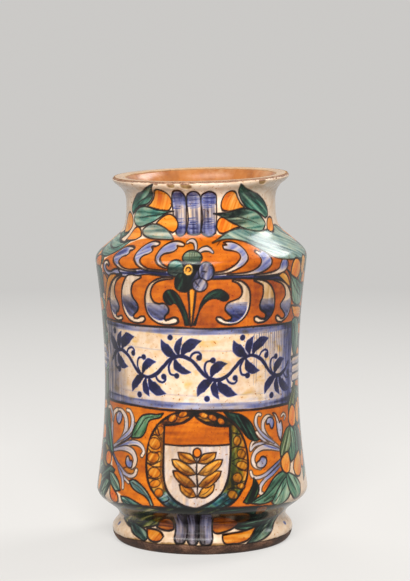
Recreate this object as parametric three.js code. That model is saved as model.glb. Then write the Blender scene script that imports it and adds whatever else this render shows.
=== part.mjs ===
// Albarello: a wheel-thrown earthenware storage jar with a tin-glazed outside and a lead-glazed inside.
// Millimetres, +Z up. The origin is the centre of the ring that the jar stands on.
// The jar is one thrown clay body. Its glazes are coats of glass fired onto it, each a solid of its own.
import * as THREE from 'three';

// Foot, from the standing ring up to its narrowest height
const standingRadius = 55.2;
const ringWidth = 11;
const recessDepth = 2.5;
const recessSlope = 2.5;
const footRadius = 59.4;
const footFlangeHeight = 7.7;
const footWaistRadius = 54.9;
const footWaistRise = 8.9;
const bareEdgeHeight = 6.3;

// Body, between the undercut over the foot and the corner of the shoulder
const bellyRadius = 69.3;
const undercutRise = 17.9;
const waistRadius = 63.5;
const lowerBodyRise = 72.8;
const shoulderRadius = 68.9;
const upperBodyRise = 78.3;

// Shoulder and neck
const shoulderRun = 9.6;
const shoulderRise = 12.1;
const shoulderSlope = THREE.MathUtils.degToRad(41.4);
const neckRadius = 48.5;
const neckRise = 24.8;

// Everted lip: a rounded outer edge with a worn line around it, and a nearly flat top
const lipRadius = 57.5;
const lipRise = 15.8;
const lipRoll = 1.7;
const lipTopWidth = 8;
const lipTopFall = 0.8;
const wornLineWidth = 0.8;
// The kiln left the rim this much higher on the right than on the left; the warp begins at the waist
const rimWarp = 2.4;

// Thickness of the wall, the floor and the coats of glaze
const wallThickness = 6;
const floorHeight = 18;
const floorCornerRadius = 33;
const tinGlaze = 0.6;
const leadGlaze = 0.4;
// Bedding between a coat and the clay, so that their faces never cross
const bedding = 0.08;

// How far each stretch of the outline keeps the direction of its ends, as a share of its rise
const hold = { foot: 0.42, undercut: 0.42, corner: 0.05, waist: 0.56, shoulder: 0.4, slope: 0.7, neck: 0.75 };

// Faces around the jar
const facesAround = 48;

// Heights of the stations, each standing on the one below
const footWaistHeight = footFlangeHeight + footWaistRise;
const bellyHeight = footWaistHeight + undercutRise;
const waistHeight = bellyHeight + lowerBodyRise;
const shoulderHeight = waistHeight + upperBodyRise;
const slopeHeight = shoulderHeight + shoulderRise;
const neckHeight = slopeHeight + neckRise;
const lipHeight = neckHeight + lipRise;
const jarHeight = lipHeight + lipRoll;

const point = (radius, height) => new THREE.Vector2(radius, height);

// A stretch of outline from one station to another, leaving along one direction and arriving along another
function stretch(from, leave, to, arrive, steps) {
  const curve = new THREE.CubicBezierCurve(from, from.clone().add(leave), to.clone().sub(arrive), to);
  return curve.getPoints(steps);
}

// Joins stretches that share their end points into one line
function join(...stretches) {
  return stretches.flatMap((points, index) => (index === 0 ? points : points.slice(1)));
}

// The line that lies a given depth under a glazed line, and an edge depth under its two ends
function under(line, depth, edgeDepth) {
  const last = line.length - 1;
  return line.map((here, index) => {
    const before = line[Math.max(index - 1, 0)];
    const after = line[Math.min(index + 1, last)];
    const along = after.clone().sub(before).normalize();
    const sink = index === 0 || index === last ? edgeDepth : depth;
    return point(here.x - along.y * sink, here.y + along.x * sink);
  });
}

// A coat runs out to nothing at its edges, and the clay lies one bedding below it all over
const underCoat = (line, thickness) => under(line, thickness, 0);
const clayUnder = (line, thickness) => under(line, thickness + bedding, bedding);

// Stations of the wall from the belly to the neck, set in from the outside by a given thickness
function wallStations(inset) {
  const up = (share, rise) => point(0, share * rise);
  const slope = point(-Math.cos(shoulderSlope), Math.sin(shoulderSlope));
  const cornerDrop = inset * Math.tan(Math.PI / 4 - shoulderSlope / 2);
  return {
    belly: point(bellyRadius - inset, bellyHeight),
    waist: point(waistRadius - inset, waistHeight),
    shoulder: point(shoulderRadius - inset, shoulderHeight - cornerDrop),
    slope: point(
      shoulderRadius - shoulderRun - inset * Math.sin(shoulderSlope),
      slopeHeight - inset * Math.cos(shoulderSlope),
    ),
    neck: point(neckRadius - inset, neckHeight),
    slopeIn: slope.clone().multiplyScalar(hold.slope * shoulderRise),
    slopeOut: slope.clone().multiplyScalar(hold.shoulder * neckRise),
    up,
  };
}

// The wall from a low point of the belly, up over the waist and the shoulder, to the neck
function wallLine(start, inset) {
  const at = wallStations(inset);
  const { up } = at;
  const lower = waistHeight - start.y;
  return join(
    stretch(start, up(hold.corner, lower), at.waist, up(hold.waist, lower), 4),
    stretch(at.waist, up(hold.waist, upperBodyRise), at.shoulder, up(hold.corner, upperBodyRise), 4),
    stretch(at.shoulder, up(hold.shoulder, shoulderRise), at.slope, at.slopeIn, 3),
    stretch(at.slope, at.slopeOut, at.neck, up(hold.neck, neckRise), 3),
  );
}

// Bare clay of the foot's lower edge, from the standing ring to the edge of the glaze
function bareFootLine() {
  const glazeEdge = point(
    THREE.MathUtils.lerp(standingRadius, footRadius, Math.sqrt(bareEdgeHeight / footFlangeHeight)),
    bareEdgeHeight,
  );
  return [point(standingRadius, 0), glazeEdge];
}

// The glazed outside, from the foot's bare edge up to the worn line of the lip
function outsideLine() {
  const [, glazeEdge] = bareFootLine();
  const at = wallStations(0);
  const { up } = at;
  const foot = point(footRadius, footFlangeHeight);
  const footWaist = point(footWaistRadius, footWaistHeight);
  const lip = point(lipRadius, lipHeight);
  const flareOut = point(lipRoll, lipRoll * 2.6);
  const wornEdge = point(lipRadius - wornLineWidth / 2, jarHeight - wornLineWidth);
  return join(
    [glazeEdge, foot],
    stretch(foot, up(hold.foot, footWaistRise), footWaist, up(hold.foot, footWaistRise), 3),
    stretch(footWaist, up(hold.undercut, undercutRise), at.belly, up(hold.undercut, undercutRise), 4),
    wallLine(at.belly, 0),
    stretch(at.neck, up(hold.neck, lipRise), lip, flareOut, 4),
    [lip, wornEdge],
  );
}

// The lip's top, from the worn line in to the edge of the mouth
function lipTopLine() {
  const outer = lipRadius - wornLineWidth;
  const inner = outer - lipTopWidth;
  return [
    point(outer, jarHeight),
    point(outer - lipTopWidth / 2, jarHeight),
    point(inner, jarHeight - lipTopFall),
  ];
}

// The glazed inside, from the edge of the mouth down the wall and in to the middle of the floor
function insideLine() {
  const mouthEdge = lipTopLine().at(-1);
  const at = wallStations(wallThickness);
  const corner = point(bellyRadius - wallThickness - floorCornerRadius, floorHeight + floorCornerRadius);
  const wallFoot = point(bellyRadius - wallThickness, corner.y);
  const wall = wallLine(wallFoot, wallThickness).reverse();
  const flare = point(wallThickness / 2, wallThickness);
  const neckHold = point(0, hold.neck * lipRise);
  const floorCorner = new THREE.EllipseCurve(
    corner.x, corner.y, floorCornerRadius, floorCornerRadius, 0, -Math.PI / 2, true,
  );
  return join(
    stretch(mouthEdge, flare.clone().negate(), at.neck, neckHold.negate(), 3),
    wall,
    floorCorner.getPoints(3),
    [point(corner.x, floorHeight), point(0, floorHeight)],
  );
}

// Turns a closed outline about the upright axis, then lets the jar's upper half lean up to the right
function turned(outline) {
  const geometry = new THREE.LatheGeometry(outline, facesAround).rotateX(Math.PI / 2);
  const place = geometry.attributes.position;
  for (let index = 0; index < place.count; index += 1) {
    const share = THREE.MathUtils.smoothstep(place.getZ(index), waistHeight, jarHeight);
    const rise = (rimWarp / 2) * share * (place.getX(index) / lipRadius);
    place.setZ(index, place.getZ(index) + rise);
  }
  geometry.computeVertexNormals();
  return geometry;
}

// A coat of glaze between the line that shows and the clay under it
function coat(line, thickness) {
  const back = underCoat(line, thickness).reverse().slice(1);
  return turned([...line, ...back]);
}

// The clay: recess under the foot, standing ring, outside, lip, inside and floor
function clayBody() {
  const recess = standingRadius - ringWidth;
  return turned([
    point(0, recessDepth),
    point(recess - recessSlope, recessDepth),
    point(recess, 0),
    ...bareFootLine().slice(0, 1),
    ...clayUnder(outsideLine(), tinGlaze),
    ...clayUnder(lipTopLine(), tinGlaze),
    ...clayUnder(insideLine(), leadGlaze).slice(1, -1),
    point(0, floorHeight - leadGlaze - bedding),
  ]);
}

// The lining is closed on the axis, where it keeps its full thickness
function lining() {
  const inside = insideLine();
  const back = underCoat(inside, leadGlaze).slice(0, -1);
  return turned([point(0, floorHeight - leadGlaze), ...back.reverse(), ...inside.slice(1)]);
}

const earthenware = new THREE.MeshStandardMaterial({ color: 0xb98457, roughness: 0.85, metalness: 0 });
const tinWhite = new THREE.MeshStandardMaterial({ color: 0xe6ddcb, roughness: 0.22, metalness: 0 });
const leadAmber = new THREE.MeshStandardMaterial({ color: 0xcf7a2c, roughness: 0.2, metalness: 0 });

function piece(name, geometry, material) {
  const mesh = new THREE.Mesh(geometry, material);
  mesh.name = name;
  return mesh;
}

const jar = new THREE.Group();
jar.add(piece('clay_body', clayBody(), earthenware));
jar.add(piece('outer_tin_glaze', coat(outsideLine(), tinGlaze), tinWhite));
jar.add(piece('lip_tin_glaze', coat(lipTopLine(), tinGlaze), tinWhite));
jar.add(piece('inner_lead_glaze', lining(), leadAmber));

export default jar;
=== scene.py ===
import math

import bpy
import numpy as np
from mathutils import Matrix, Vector


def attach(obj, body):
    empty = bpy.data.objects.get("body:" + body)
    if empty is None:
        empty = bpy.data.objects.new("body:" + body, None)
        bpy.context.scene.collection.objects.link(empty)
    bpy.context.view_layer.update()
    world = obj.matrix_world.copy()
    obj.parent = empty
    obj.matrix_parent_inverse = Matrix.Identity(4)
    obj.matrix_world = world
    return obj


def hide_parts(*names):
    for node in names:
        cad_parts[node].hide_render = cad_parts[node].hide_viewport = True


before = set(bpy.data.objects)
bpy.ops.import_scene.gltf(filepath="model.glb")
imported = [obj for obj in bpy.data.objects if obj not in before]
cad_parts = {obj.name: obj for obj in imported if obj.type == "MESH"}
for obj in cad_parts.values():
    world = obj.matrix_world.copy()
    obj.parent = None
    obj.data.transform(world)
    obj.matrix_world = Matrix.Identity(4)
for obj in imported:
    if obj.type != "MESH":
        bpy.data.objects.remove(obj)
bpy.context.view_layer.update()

# All shapes are worked out in millimetres and turned to metres when a mesh is made
MM = 0.001

# The jar's stations, as on the solids: radius and height of each
STANDING_RADIUS = 55.2
RING_WIDTH = 11.0
RECESS_DEPTH = 2.5
FOOT = (59.4, 7.7)
FOOT_WAIST = (54.9, 16.6)
BELLY = (69.3, 34.5)
WAIST = (63.5, 107.3)
SHOULDER = (68.9, 185.6)
SLOPE = (59.3, 197.7)
SLOPE_ANGLE = math.radians(41.4)
NECK = (48.5, 222.5)
LIP = (57.5, 238.3)
JAR_HEIGHT = 240.0
LIP_TOP_WIDTH = 8.0
LIP_TOP_FALL = 0.8
WORN_LINE = 0.8
BARE_EDGE = 6.3
RIM_WARP = 2.4
WALL = 6.0
FLOOR_HEIGHT = 18.0
FLOOR_CORNER = 33.0

# How far each stretch of the outline keeps the direction of its ends, as a share of its rise
HOLD_FOOT = 0.42
HOLD_CORNER = 0.05
HOLD_WAIST = 0.56
HOLD_SHOULDER = 0.4
HOLD_SLOPE = 0.7
HOLD_NECK = 0.75

# Thickness of the fired coats, and how wide the roll is where a coat ends
TIN_COAT = 0.6
LEAD_COAT = 0.4
COAT_ROLL = 1.4

# The painting's own flat sheet: millimetres around the jar, measured at this radius, and height
SHEET_RADIUS = 66.0
POINTS_AROUND = 900
ROW_STEP = 0.5


# The jar's outline

def stretch(start, leave, end, arrive, count=80):
    """Points on a smooth stretch of outline that leaves and arrives along the given directions"""
    share = np.linspace(0, 1, count)[:, None]
    start, leave, end, arrive = (np.array(value, float) for value in (start, leave, end, arrive))
    hold, reach = start + leave, end - arrive
    return ((1 - share) ** 3 * start + 3 * (1 - share) ** 2 * share * hold
            + 3 * (1 - share) * share ** 2 * reach + share ** 3 * end)


def joined(*stretches):
    """One line made of stretches that share their end points"""
    return np.vstack([stretches[0]] + [points[1:] for points in stretches[1:]])


def run_along(line):
    """The distance along a line at each of its points"""
    return np.r_[0, np.cumsum(np.hypot(*np.diff(line, axis=0).T))]


def evenly(line, step):
    """The same line with its points at an even step"""
    run = run_along(line)
    places = np.linspace(0, run[-1], max(2, int(round(run[-1] / step)) + 1))
    return np.stack([np.interp(places, run, line[:, axis]) for axis in (0, 1)], 1)


def outward(line):
    """Unit normals of an outline, to the right of the way it runs"""
    along = np.gradient(line, axis=0)
    along /= np.hypot(*along.T)[:, None] + 1e-12
    return np.stack([along[:, 1], -along[:, 0]], 1)


def wall_line(start, inset):
    """The wall from a low point of the belly to the neck, set in from the outside"""
    lower, upper = WAIST[1] - start[1], SHOULDER[1] - WAIST[1]
    rise, climb = SLOPE[1] - SHOULDER[1], NECK[1] - SLOPE[1]
    drop = inset * math.tan(math.pi / 4 - SLOPE_ANGLE / 2)
    along = np.array([-math.cos(SLOPE_ANGLE), math.sin(SLOPE_ANGLE)])
    waist = (WAIST[0] - inset, WAIST[1])
    shoulder = (SHOULDER[0] - inset, SHOULDER[1] - drop)
    slope = (SLOPE[0] - inset * math.sin(SLOPE_ANGLE), SLOPE[1] - inset * math.cos(SLOPE_ANGLE))
    neck = (NECK[0] - inset, NECK[1])
    return joined(
        stretch(start, (0, HOLD_CORNER * lower), waist, (0, HOLD_WAIST * lower)),
        stretch(waist, (0, HOLD_WAIST * upper), shoulder, (0, HOLD_CORNER * upper)),
        stretch(shoulder, (0, HOLD_SHOULDER * rise), slope, along * HOLD_SLOPE * rise),
        stretch(slope, along * HOLD_SHOULDER * climb, neck, (0, HOLD_NECK * climb)))


def outside_line():
    """The outside as it shows, from the standing ring to the worn line of the lip"""
    foot_rise, undercut = FOOT_WAIST[1] - FOOT[1], BELLY[1] - FOOT_WAIST[1]
    lip_rise = LIP[1] - NECK[1]
    lip_roll = JAR_HEIGHT - LIP[1]
    return joined(
        stretch((STANDING_RADIUS, 0), (2.2, 0.8), FOOT, (0, 3.6)),
        stretch(FOOT, (0, HOLD_FOOT * foot_rise), FOOT_WAIST, (0, HOLD_FOOT * foot_rise)),
        stretch(FOOT_WAIST, (0, HOLD_FOOT * undercut), BELLY, (0, HOLD_FOOT * undercut)),
        wall_line(BELLY, 0),
        stretch(NECK, (0, HOLD_NECK * lip_rise), LIP, (lip_roll, lip_roll * 2.6)),
        stretch(LIP, (0, 0.8), (LIP[0] - WORN_LINE, JAR_HEIGHT - 0.15), (-0.5, 0.25), 12))


def lip_top_line():
    """The top of the lip, from the worn line in to the edge of the mouth"""
    outer = LIP[0] - WORN_LINE - 0.3
    inner = outer - LIP_TOP_WIDTH
    return stretch((outer, JAR_HEIGHT), (-3, 0.2), (inner, JAR_HEIGHT - LIP_TOP_FALL), (-2, -1.0))


def inside_line():
    """The inside as it shows, from the edge of the mouth to the middle of the floor"""
    edge = lip_top_line()[-1]
    corner = (BELLY[0] - WALL - FLOOR_CORNER, FLOOR_HEIGHT + FLOOR_CORNER)
    turn = np.radians(np.linspace(0, -90, 60))[:, None]
    bowl = np.array(corner) + FLOOR_CORNER * np.hstack([np.cos(turn), np.sin(turn)])
    wall = wall_line((BELLY[0] - WALL, corner[1]), WALL)[::-1]
    neck = stretch(edge, (-2.6, -2.4), wall[0], (0, -0.7 * (LIP[1] - NECK[1])))
    return joined(neck, wall, bowl, np.array([bowl[-1], (0.0, FLOOR_HEIGHT)]))


# Meshes turned about the upright axis

def seeded_wave(seed, places, lowest, highest, size):
    """A smooth wave around the jar, or over any angle, made of a few seeded harmonics"""
    draw = np.random.default_rng(seed)
    wave = np.zeros_like(places)
    for harmonic in range(lowest, highest + 1):
        wave += draw.normal() / math.sqrt(harmonic) * np.sin(harmonic * places + draw.uniform(0, 2 * math.pi))
    return size * wave / (np.abs(wave).max() + 1e-9)


def warped(x, y, z):
    """The kiln's warp: above its waist the jar leans up to the right"""
    share = np.clip((z - WAIST[1]) / (JAR_HEIGHT - WAIST[1]), 0, 1)
    share = share * share * (3 - 2 * share)
    return x, y, z + RIM_WARP / 2 * share * x / LIP[0]


def turned(name, rings):
    """A closed mesh from rings of points: an array of rows, points around, and (radius, height)"""
    rows, around = rings.shape[:2]
    angle = np.linspace(0, 2 * math.pi, around, endpoint=False) - math.pi
    radius, height = rings[..., 0], rings[..., 1]
    x, y, z = warped(radius * np.sin(angle), -radius * np.cos(angle), height)
    points = np.stack([x, y, z], -1).reshape(-1, 3) * MM
    lower = np.arange(rows)[:, None]
    upper = (lower + 1) % rows
    here, after = np.arange(around), (np.arange(around) + 1) % around
    quads = np.stack(np.broadcast_arrays(
        lower * around + here, lower * around + after, upper * around + after, upper * around + here), -1)
    return mesh_object(name, points, quads.reshape(-1, 4))


def mesh_object(name, points, quads):
    """A smooth-shaded object from points and the four corners of each face"""
    mesh = bpy.data.meshes.new(name)
    mesh.vertices.add(len(points))
    mesh.vertices.foreach_set("co", points.astype(np.float32).ravel())
    mesh.loops.add(quads.size)
    mesh.loops.foreach_set("vertex_index", quads.astype(np.int32).ravel())
    mesh.polygons.add(len(quads))
    mesh.polygons.foreach_set("loop_start", np.arange(0, quads.size, 4, dtype=np.int32))
    mesh.polygons.foreach_set("use_smooth", np.ones(len(quads), bool))
    mesh.update(calc_edges=True)
    mesh.validate()
    piece = bpy.data.objects.new(name, mesh)
    bpy.context.collection.objects.link(piece)
    return piece


def hexed(code):
    """An sRGB hex colour as the linear colour a shader takes"""
    parts = [int(code[place:place + 2], 16) / 255 for place in (1, 3, 5)]
    return [part / 12.92 if part <= 0.04045 else ((part + 0.055) / 1.055) ** 2.4 for part in parts] + [1.0]


def set_stops(elements, stops):
    """Gives a colour ramp its stops, each a position and a hex colour"""
    while len(elements) < len(stops):
        elements.new(0.5)
    for element, (position, code) in zip(elements, stops):
        element.position = position
    for element, (position, code) in zip(elements, stops):
        element.color = hexed(code)


def node(tree, kind, settings=None, **links):
    """Adds a node with its settings; each link is an input's name or number and what feeds it, which is a
    socket, or the first output of a node"""
    made = tree.nodes.new(kind)
    for key, value in (settings or {}).items():
        if key == "stops":
            set_stops(made.color_ramp.elements, value)
        elif isinstance(key, str) and hasattr(made, key):
            setattr(made, key, value)
        else:
            made.inputs[key].default_value = value
    for key, source in links.items():
        slot = int(key[1:]) if key[0] == "_" else key.replace("_", " ")
        socket = source.outputs[0] if isinstance(source, bpy.types.Node) else source
        tree.links.new(socket, made.inputs[slot])
    return made


def full_rings(line, around):
    """The same outline all around the jar, as rings of points"""
    return np.repeat(line[:, None, :], around, 1)


outside = evenly(outside_line(), ROW_STEP)
glazed = outside[outside[:, 1] > BARE_EDGE]

# The painting. Its sheet is the outside unrolled: millimetres around from the front, at SHEET_RADIUS,
# and millimetres up. Each pigment is a layer of how thickly it was brushed on at each point of the sheet,
# and the last layer says where the glaze is worn down to the bare clay

SHEET_X = (np.arange(POINTS_AROUND) / POINTS_AROUND - 0.5) * 2 * math.pi * SHEET_RADIUS
SHEET_Z = glazed[:, 1]
PIGMENTS = ("yellow", "orange", "ochre", "green", "blue", "dark")
layers = {name: np.zeros((len(SHEET_Z), len(SHEET_X))) for name in (*PIGMENTS, "bare")}

# The thickest load of pigment that a layer can hold, and how deep a chip goes into the lip
THICKEST = 1.6
CHIP_DEPTH = 0.5

# How far around a shape its distances are measured, how soft a wash's wet edge and a fine line's edge are,
# and the step between the points of a drawn curve
REACH = 2.6
SOFT_EDGE = 0.45
LINE_EDGE = 0.35
CURVE_STEP = 0.6


def noise_field(seed, long, short, angle=0.0):
    """Smooth seeded noise over the sheet, from -1 to 1, drawn out to a length along an angle in degrees"""
    white = np.random.default_rng(seed).normal(size=layers["dark"].shape)
    turns_x = np.fft.fftfreq(len(SHEET_X), SHEET_X[1] - SHEET_X[0])[None, :]
    turns_z = np.fft.fftfreq(len(SHEET_Z), ROW_STEP)[:, None]
    along = turns_x * math.cos(math.radians(angle)) + turns_z * math.sin(math.radians(angle))
    across = turns_z * math.cos(math.radians(angle)) - turns_x * math.sin(math.radians(angle))
    kept = np.exp(-2 * (math.pi * along * long / 2) ** 2 - 2 * (math.pi * across * short / 2) ** 2)
    field = np.real(np.fft.ifft2(np.fft.fft2(white) * kept))
    return np.clip(field / (2 * field.std()), -1, 1)


# Streaks left by the hairs of the brush, by the way it was drawn, and the wash's uneven pooling
STREAKS = {angle: noise_field(30 + number, 13, 1.1, angle)
           for number, angle in enumerate((0, 30, 60, 90, 120, 150))}
POOLING = noise_field(40, 7, 6)
PATCHES = noise_field(41, 22, 16)
MOTTLE = noise_field(43, 3, 2.4)
HAND = noise_field(42, 5, 5)


def step_up(values, low, high):
    """0 below the low value and 1 above the high one, with a smooth rise between"""
    share = np.clip((values - low) / (high - low), 0, 1)
    return share * share * (3 - 2 * share)


def step_between(values, start, end):
    """A smooth rise from 0 at the start value to 1 at the end value, which may be the lower one"""
    return step_up(values, start, end) if start < end else 1 - step_up(values, end, start)


def smooth(points):
    """A smooth line through given points"""
    points = np.array(points, float)
    if len(points) == 2:
        return points
    padded = np.vstack([2 * points[0] - points[1], points, 2 * points[-1] - points[-2]])
    run = []
    for before, start, end, after in zip(padded, padded[1:], padded[2:], padded[3:]):
        count = max(2, int(np.hypot(*(end - start)) / CURVE_STEP))
        share = np.linspace(0, 1, count, endpoint=False)[:, None]
        run.append(0.5 * (2 * start + (end - before) * share
                          + (2 * before - 5 * start + 4 * end - after) * share ** 2
                          + (3 * start - before - 3 * end + after) * share ** 3))
    return np.vstack(run + [points[-1:]])


def outline(*stretches):
    """A closed outline made of smooth stretches, which may turn a corner where one follows another. The last
    one runs on to the first point, so an empty one closes the outline with a straight line"""
    runs, before = [], []
    for points in (*stretches[:-1], [*stretches[-1], stretches[0][0]]):
        runs.append(smooth(before + list(points)))
        before = [points[-1]]
    return np.vstack(runs)


def loop(*points):
    """A closed smooth outline without corners"""
    count = len(points)
    wrapped = smooth([points[index % count] for index in range(-2, count + 3)])
    first = np.argmin(np.hypot(*(wrapped - points[0]).T))
    rest = np.hypot(*(wrapped[first + 4:] - points[0]).T)
    return wrapped[first:first + 5 + np.argmin(rest)]


def oval(x, z, half_width, half_height, lean=0.0, count=28):
    """An oval whose upright axis leans by some degrees to the right"""
    turn = np.linspace(0, 2 * math.pi, count, endpoint=False)
    across, up = half_width * np.cos(turn), half_height * np.sin(turn)
    tilt = math.radians(lean)
    return np.stack([x + across * math.cos(tilt) + up * math.sin(tilt),
                     z - across * math.sin(tilt) + up * math.cos(tilt)], 1)


class Patch:
    """The part of the sheet around a line, with each point's distance to the line in millimetres"""

    def __init__(self, line, reach, closed):
        low, high = line.min(0) - reach, line.max(0) + reach
        self.rows = slice(*np.searchsorted(SHEET_Z, (low[1], high[1])))
        self.columns = slice(*np.searchsorted(SHEET_X, (low[0], high[0])))
        self.where = (self.rows, self.columns)
        self.x, self.z = SHEET_X[self.columns][None, :], SHEET_Z[self.rows][:, None]
        shape = (self.z.shape[0], self.x.shape[1])
        self.distance = np.full(shape, float(reach))
        self.along = np.zeros(shape)
        ends = np.roll(line, -1, 0) if closed else line[1:]
        count = len(ends)
        for number, (start, end) in enumerate(zip(line, ends)):
            self.measure(start, end - start, reach, number, count)
        if closed:
            self.sign(line, ends)

    def measure(self, start, way, reach, number, count):
        """Shortens the distances of the points near one short piece of the line"""
        low, high = np.minimum(start, start + way) - reach, np.maximum(start, start + way) + reach
        rows = slice(*np.searchsorted(self.z[:, 0], (low[1], high[1])))
        columns = slice(*np.searchsorted(self.x[0], (low[0], high[0])))
        across, up = self.x[:, columns] - start[0], self.z[rows] - start[1]
        share = np.clip((across * way[0] + up * way[1]) / (way @ way + 1e-12), 0, 1)
        distance = np.hypot(across - share * way[0], up - share * way[1])
        nearer = distance < self.distance[rows, columns]
        self.distance[rows, columns][nearer] = distance[nearer]
        self.along[rows, columns][nearer] = ((number + share) / count)[nearer]

    def sign(self, line, ends):
        """Makes the distance negative outside the closed line"""
        crossings = np.zeros((self.z.shape[0], self.x.shape[1] + 1), int)
        for start, end in zip(line, ends):
            lower, upper = (start, end) if start[1] < end[1] else (end, start)
            first, last = np.searchsorted(self.z[:, 0], (lower[1], upper[1]))
            rows = np.arange(first, last)
            if len(rows):
                share = (self.z[rows, 0] - lower[1]) / (upper[1] - lower[1])
                places = np.searchsorted(self.x[0], lower[0] + share * (upper[0] - lower[0]))
                np.add.at(crossings, (rows, places), 1)
        inside = np.cumsum(crossings, 1)[:, :-1] % 2 == 1
        self.distance = np.where(inside, self.distance, -self.distance)


class Shape(Patch):
    """A closed shape that is painted on the sheet, over what was there"""

    def __init__(self, line):
        super().__init__(np.asarray(line, float), REACH, True)
        self.mask = step_up(self.distance + 0.15 * HAND[self.where], -SOFT_EDGE, SOFT_EDGE)

    def reserve(self):
        """Leaves the shape bare of every pigment, as a painter works round it"""
        for layer in layers.values():
            layer[self.where] *= 1 - self.mask
        return self

    def wash(self, pigment, strength, streak=None, rough=0.3, fade=None, inset=0.0):
        """Brushes one pigment over the shape; fade is a share for each point, and inset keeps off the edge"""
        thick = strength * (1 + 0.35 * rough * POOLING[self.where])
        if streak is not None:
            thick = thick * (1 + rough * STREAKS[streak][self.where])
        if fade is not None:
            thick = thick * fade
        mask = self.mask if inset == 0 else step_up(self.distance, inset - 0.5, inset + 0.5)
        layers[pigment][self.where] += mask * np.clip(thick, 0, 2)
        return self

    def rim(self, width=0.95, strength=0.95, pigment="dark", fade=1.0):
        """Draws the shape's outline with a fine brush that presses more in some places than in others"""
        half = width / 2 * (1 + 0.22 * HAND[self.where])
        mark = strength * (1 - step_up(np.abs(self.distance), half - LINE_EDGE, half + LINE_EDGE))
        blend_in(pigment, self.where, mark * fade)
        return self

    def hatch(self, pigment, strength, angle, pitch=2.0, fade=1.0):
        """Fine strokes laid side by side along an angle, some pressed hard and some missed"""
        tilt = math.radians(angle)
        across = self.z * math.cos(tilt) - self.x * math.sin(tilt) + 0.6 * HAND[self.where]
        line = 1 - step_up(np.abs((across / pitch) % 1 - 0.5) * pitch, 0.1, 0.5)
        pressed = np.clip(0.5 + 0.9 * STREAKS[angle][self.where], 0, 1)
        blend_in(pigment, self.where, strength * line * pressed * step_up(self.distance, 0.3, 1.2) * fade)
        return self

    def up(self, start, end):
        """A share that rises from one height to another, upward or downward"""
        return step_between(self.z + 0 * self.x, start, end)

    def right(self, start, end):
        """A share that rises from one place across to another, rightward or leftward"""
        return step_between(self.x + 0 * self.z, start, end)

    def between(self, start, end):
        """A share that rises from one point of the sheet to another"""
        start, way = np.array(start, float), np.array(end, float) - start
        return step_up(((self.x - start[0]) * way[0] + (self.z - start[1]) * way[1]) / (way @ way), 0, 1)

    def near(self, x, z, radius, soft):
        """A share that is 1 within a radius of a point and falls to 0 over the soft width"""
        return 1 - step_up(np.hypot(self.x - x, self.z - z), radius, radius + soft)


def blend_in(pigment, where, mark):
    """Lays a mark over a layer without making it thicker than the mark itself"""
    layer = layers[pigment]
    layer[where] = np.maximum(layer[where], mark)


def brush(points, width=0.95, strength=0.95, pigment="dark", ends=(0.35, 0.35), lift=0.0, over=False):
    """One stroke along a smooth line; ends are its widths there as shares, lift is how much of its load it
    loses on the way, and over hides what lies under it"""
    patch = Patch(smooth(points), width / 2 + 1.2, False)
    start, end = ends
    swell = np.interp(patch.along, (0, 0.35, 0.65, 1), (start, 1, 1, end))
    half = width / 2 * swell * (1 + 0.2 * HAND[patch.where])
    beside = step_up(patch.distance, half - LINE_EDGE, half + LINE_EDGE)
    if over:
        for layer in layers.values():
            layer[patch.where] *= beside
    blend_in(pigment, patch.where, strength * (1 - lift * patch.along) * (1 - beside))


def placed(points, x, z, turn):
    """Points drawn about an origin, set at a place of the sheet and turned by some degrees"""
    ahead, aside = math.cos(math.radians(turn)), math.sin(math.radians(turn))
    return [(x + across * ahead - up * aside, z + across * aside + up * ahead) for across, up in points]


def wear():
    """Glaze worn off the edges of the lip and the foot, and chipped under the lip, down to the ochre clay;
    and painted shade darkening the glaze towards the foot
    """
    angle = SHEET_X / SHEET_RADIUS
    edge = JAR_HEIGHT - 0.9 - seeded_wave(12, angle, 3, 40, 0.45) - seeded_wave(13, angle, 40, 120, 0.25)
    worn = step_up(SHEET_Z[:, None] - edge, -0.35, 0.35)
    layers["dark"] = np.maximum(layers["dark"], 0.3 * worn)
    edge = 7.1 + seeded_wave(14, angle, 2, 30, 1.1) + seeded_wave(15, angle, 30, 110, 0.5)
    layers["bare"] = 0.95 * np.maximum(worn, step_up(edge - SHEET_Z[:, None], -0.3, 0.5))
    for x, z, half_width, half_height in (
            (-34.5, 238.6, 1.8, 1.1), (-22.6, 237.8, 3.2, 1.9), (-10.6, 237, 4.6, 2.5),
            (50.2, 237.6, 3.8, 2.2), (66, 238.9, 1.6, 0.9)):
        chip = Shape(oval(x, z, half_width, half_height, 12, 20)).reserve()
        blend_in("bare", chip.where, 0.95 * step_up(chip.distance + 0.5 * HAND[chip.where], -0.3, 0.7))
    # Darker and browner towards the foot all round: painted shade
    foot_shade = 1 - step_up(SHEET_Z[:, None], 12, 26)
    for pigment in ("dark", "ochre"):
        layers[pigment] += 0.07 * foot_shade * (1 + 0.5 * MOTTLE)


# What each pigment turns the white glaze to, as a share of its light, from bare to a thick brush load
PIGMENT_TINTS = {
    "yellow": ((0, "#ffffff"), (0.35, "#ffeaa6"), (0.8, "#ffce55"), (1.4, "#f0a422")),
    "orange": ((0, "#ffffff"), (0.25, "#ffd89a"), (0.5, "#fab24a"), (0.75, "#ea9114"), (1.0, "#d27700"),
               (1.5, "#984a00")),
    "ochre": ((0, "#ffffff"), (0.35, "#f2d896"), (0.8, "#cf9a30"), (1.4, "#7c5210")),
    "green": ((0, "#ffffff"), (0.3, "#b4e4dc"), (0.6, "#6cbfb0"), (0.95, "#308878"), (1.5, "#103c36")),
    "blue": ((0, "#ffffff"), (0.3, "#bccbfa"), (0.6, "#8298ec"), (0.95, "#3c4aa6"), (1.4, "#161a56")),
    "dark": ((0, "#ffffff"), (0.4, "#948a88"), (0.8, "#352c30"), (1.1, "#16121a")),
}


def reserved(line):
    """A shape that is left bare of what was under it"""
    return Shape(line).reserve()


def drawn(*stretches):
    """A shape within a drawn outline, left bare of what was under it"""
    return reserved(outline(*stretches))


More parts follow.
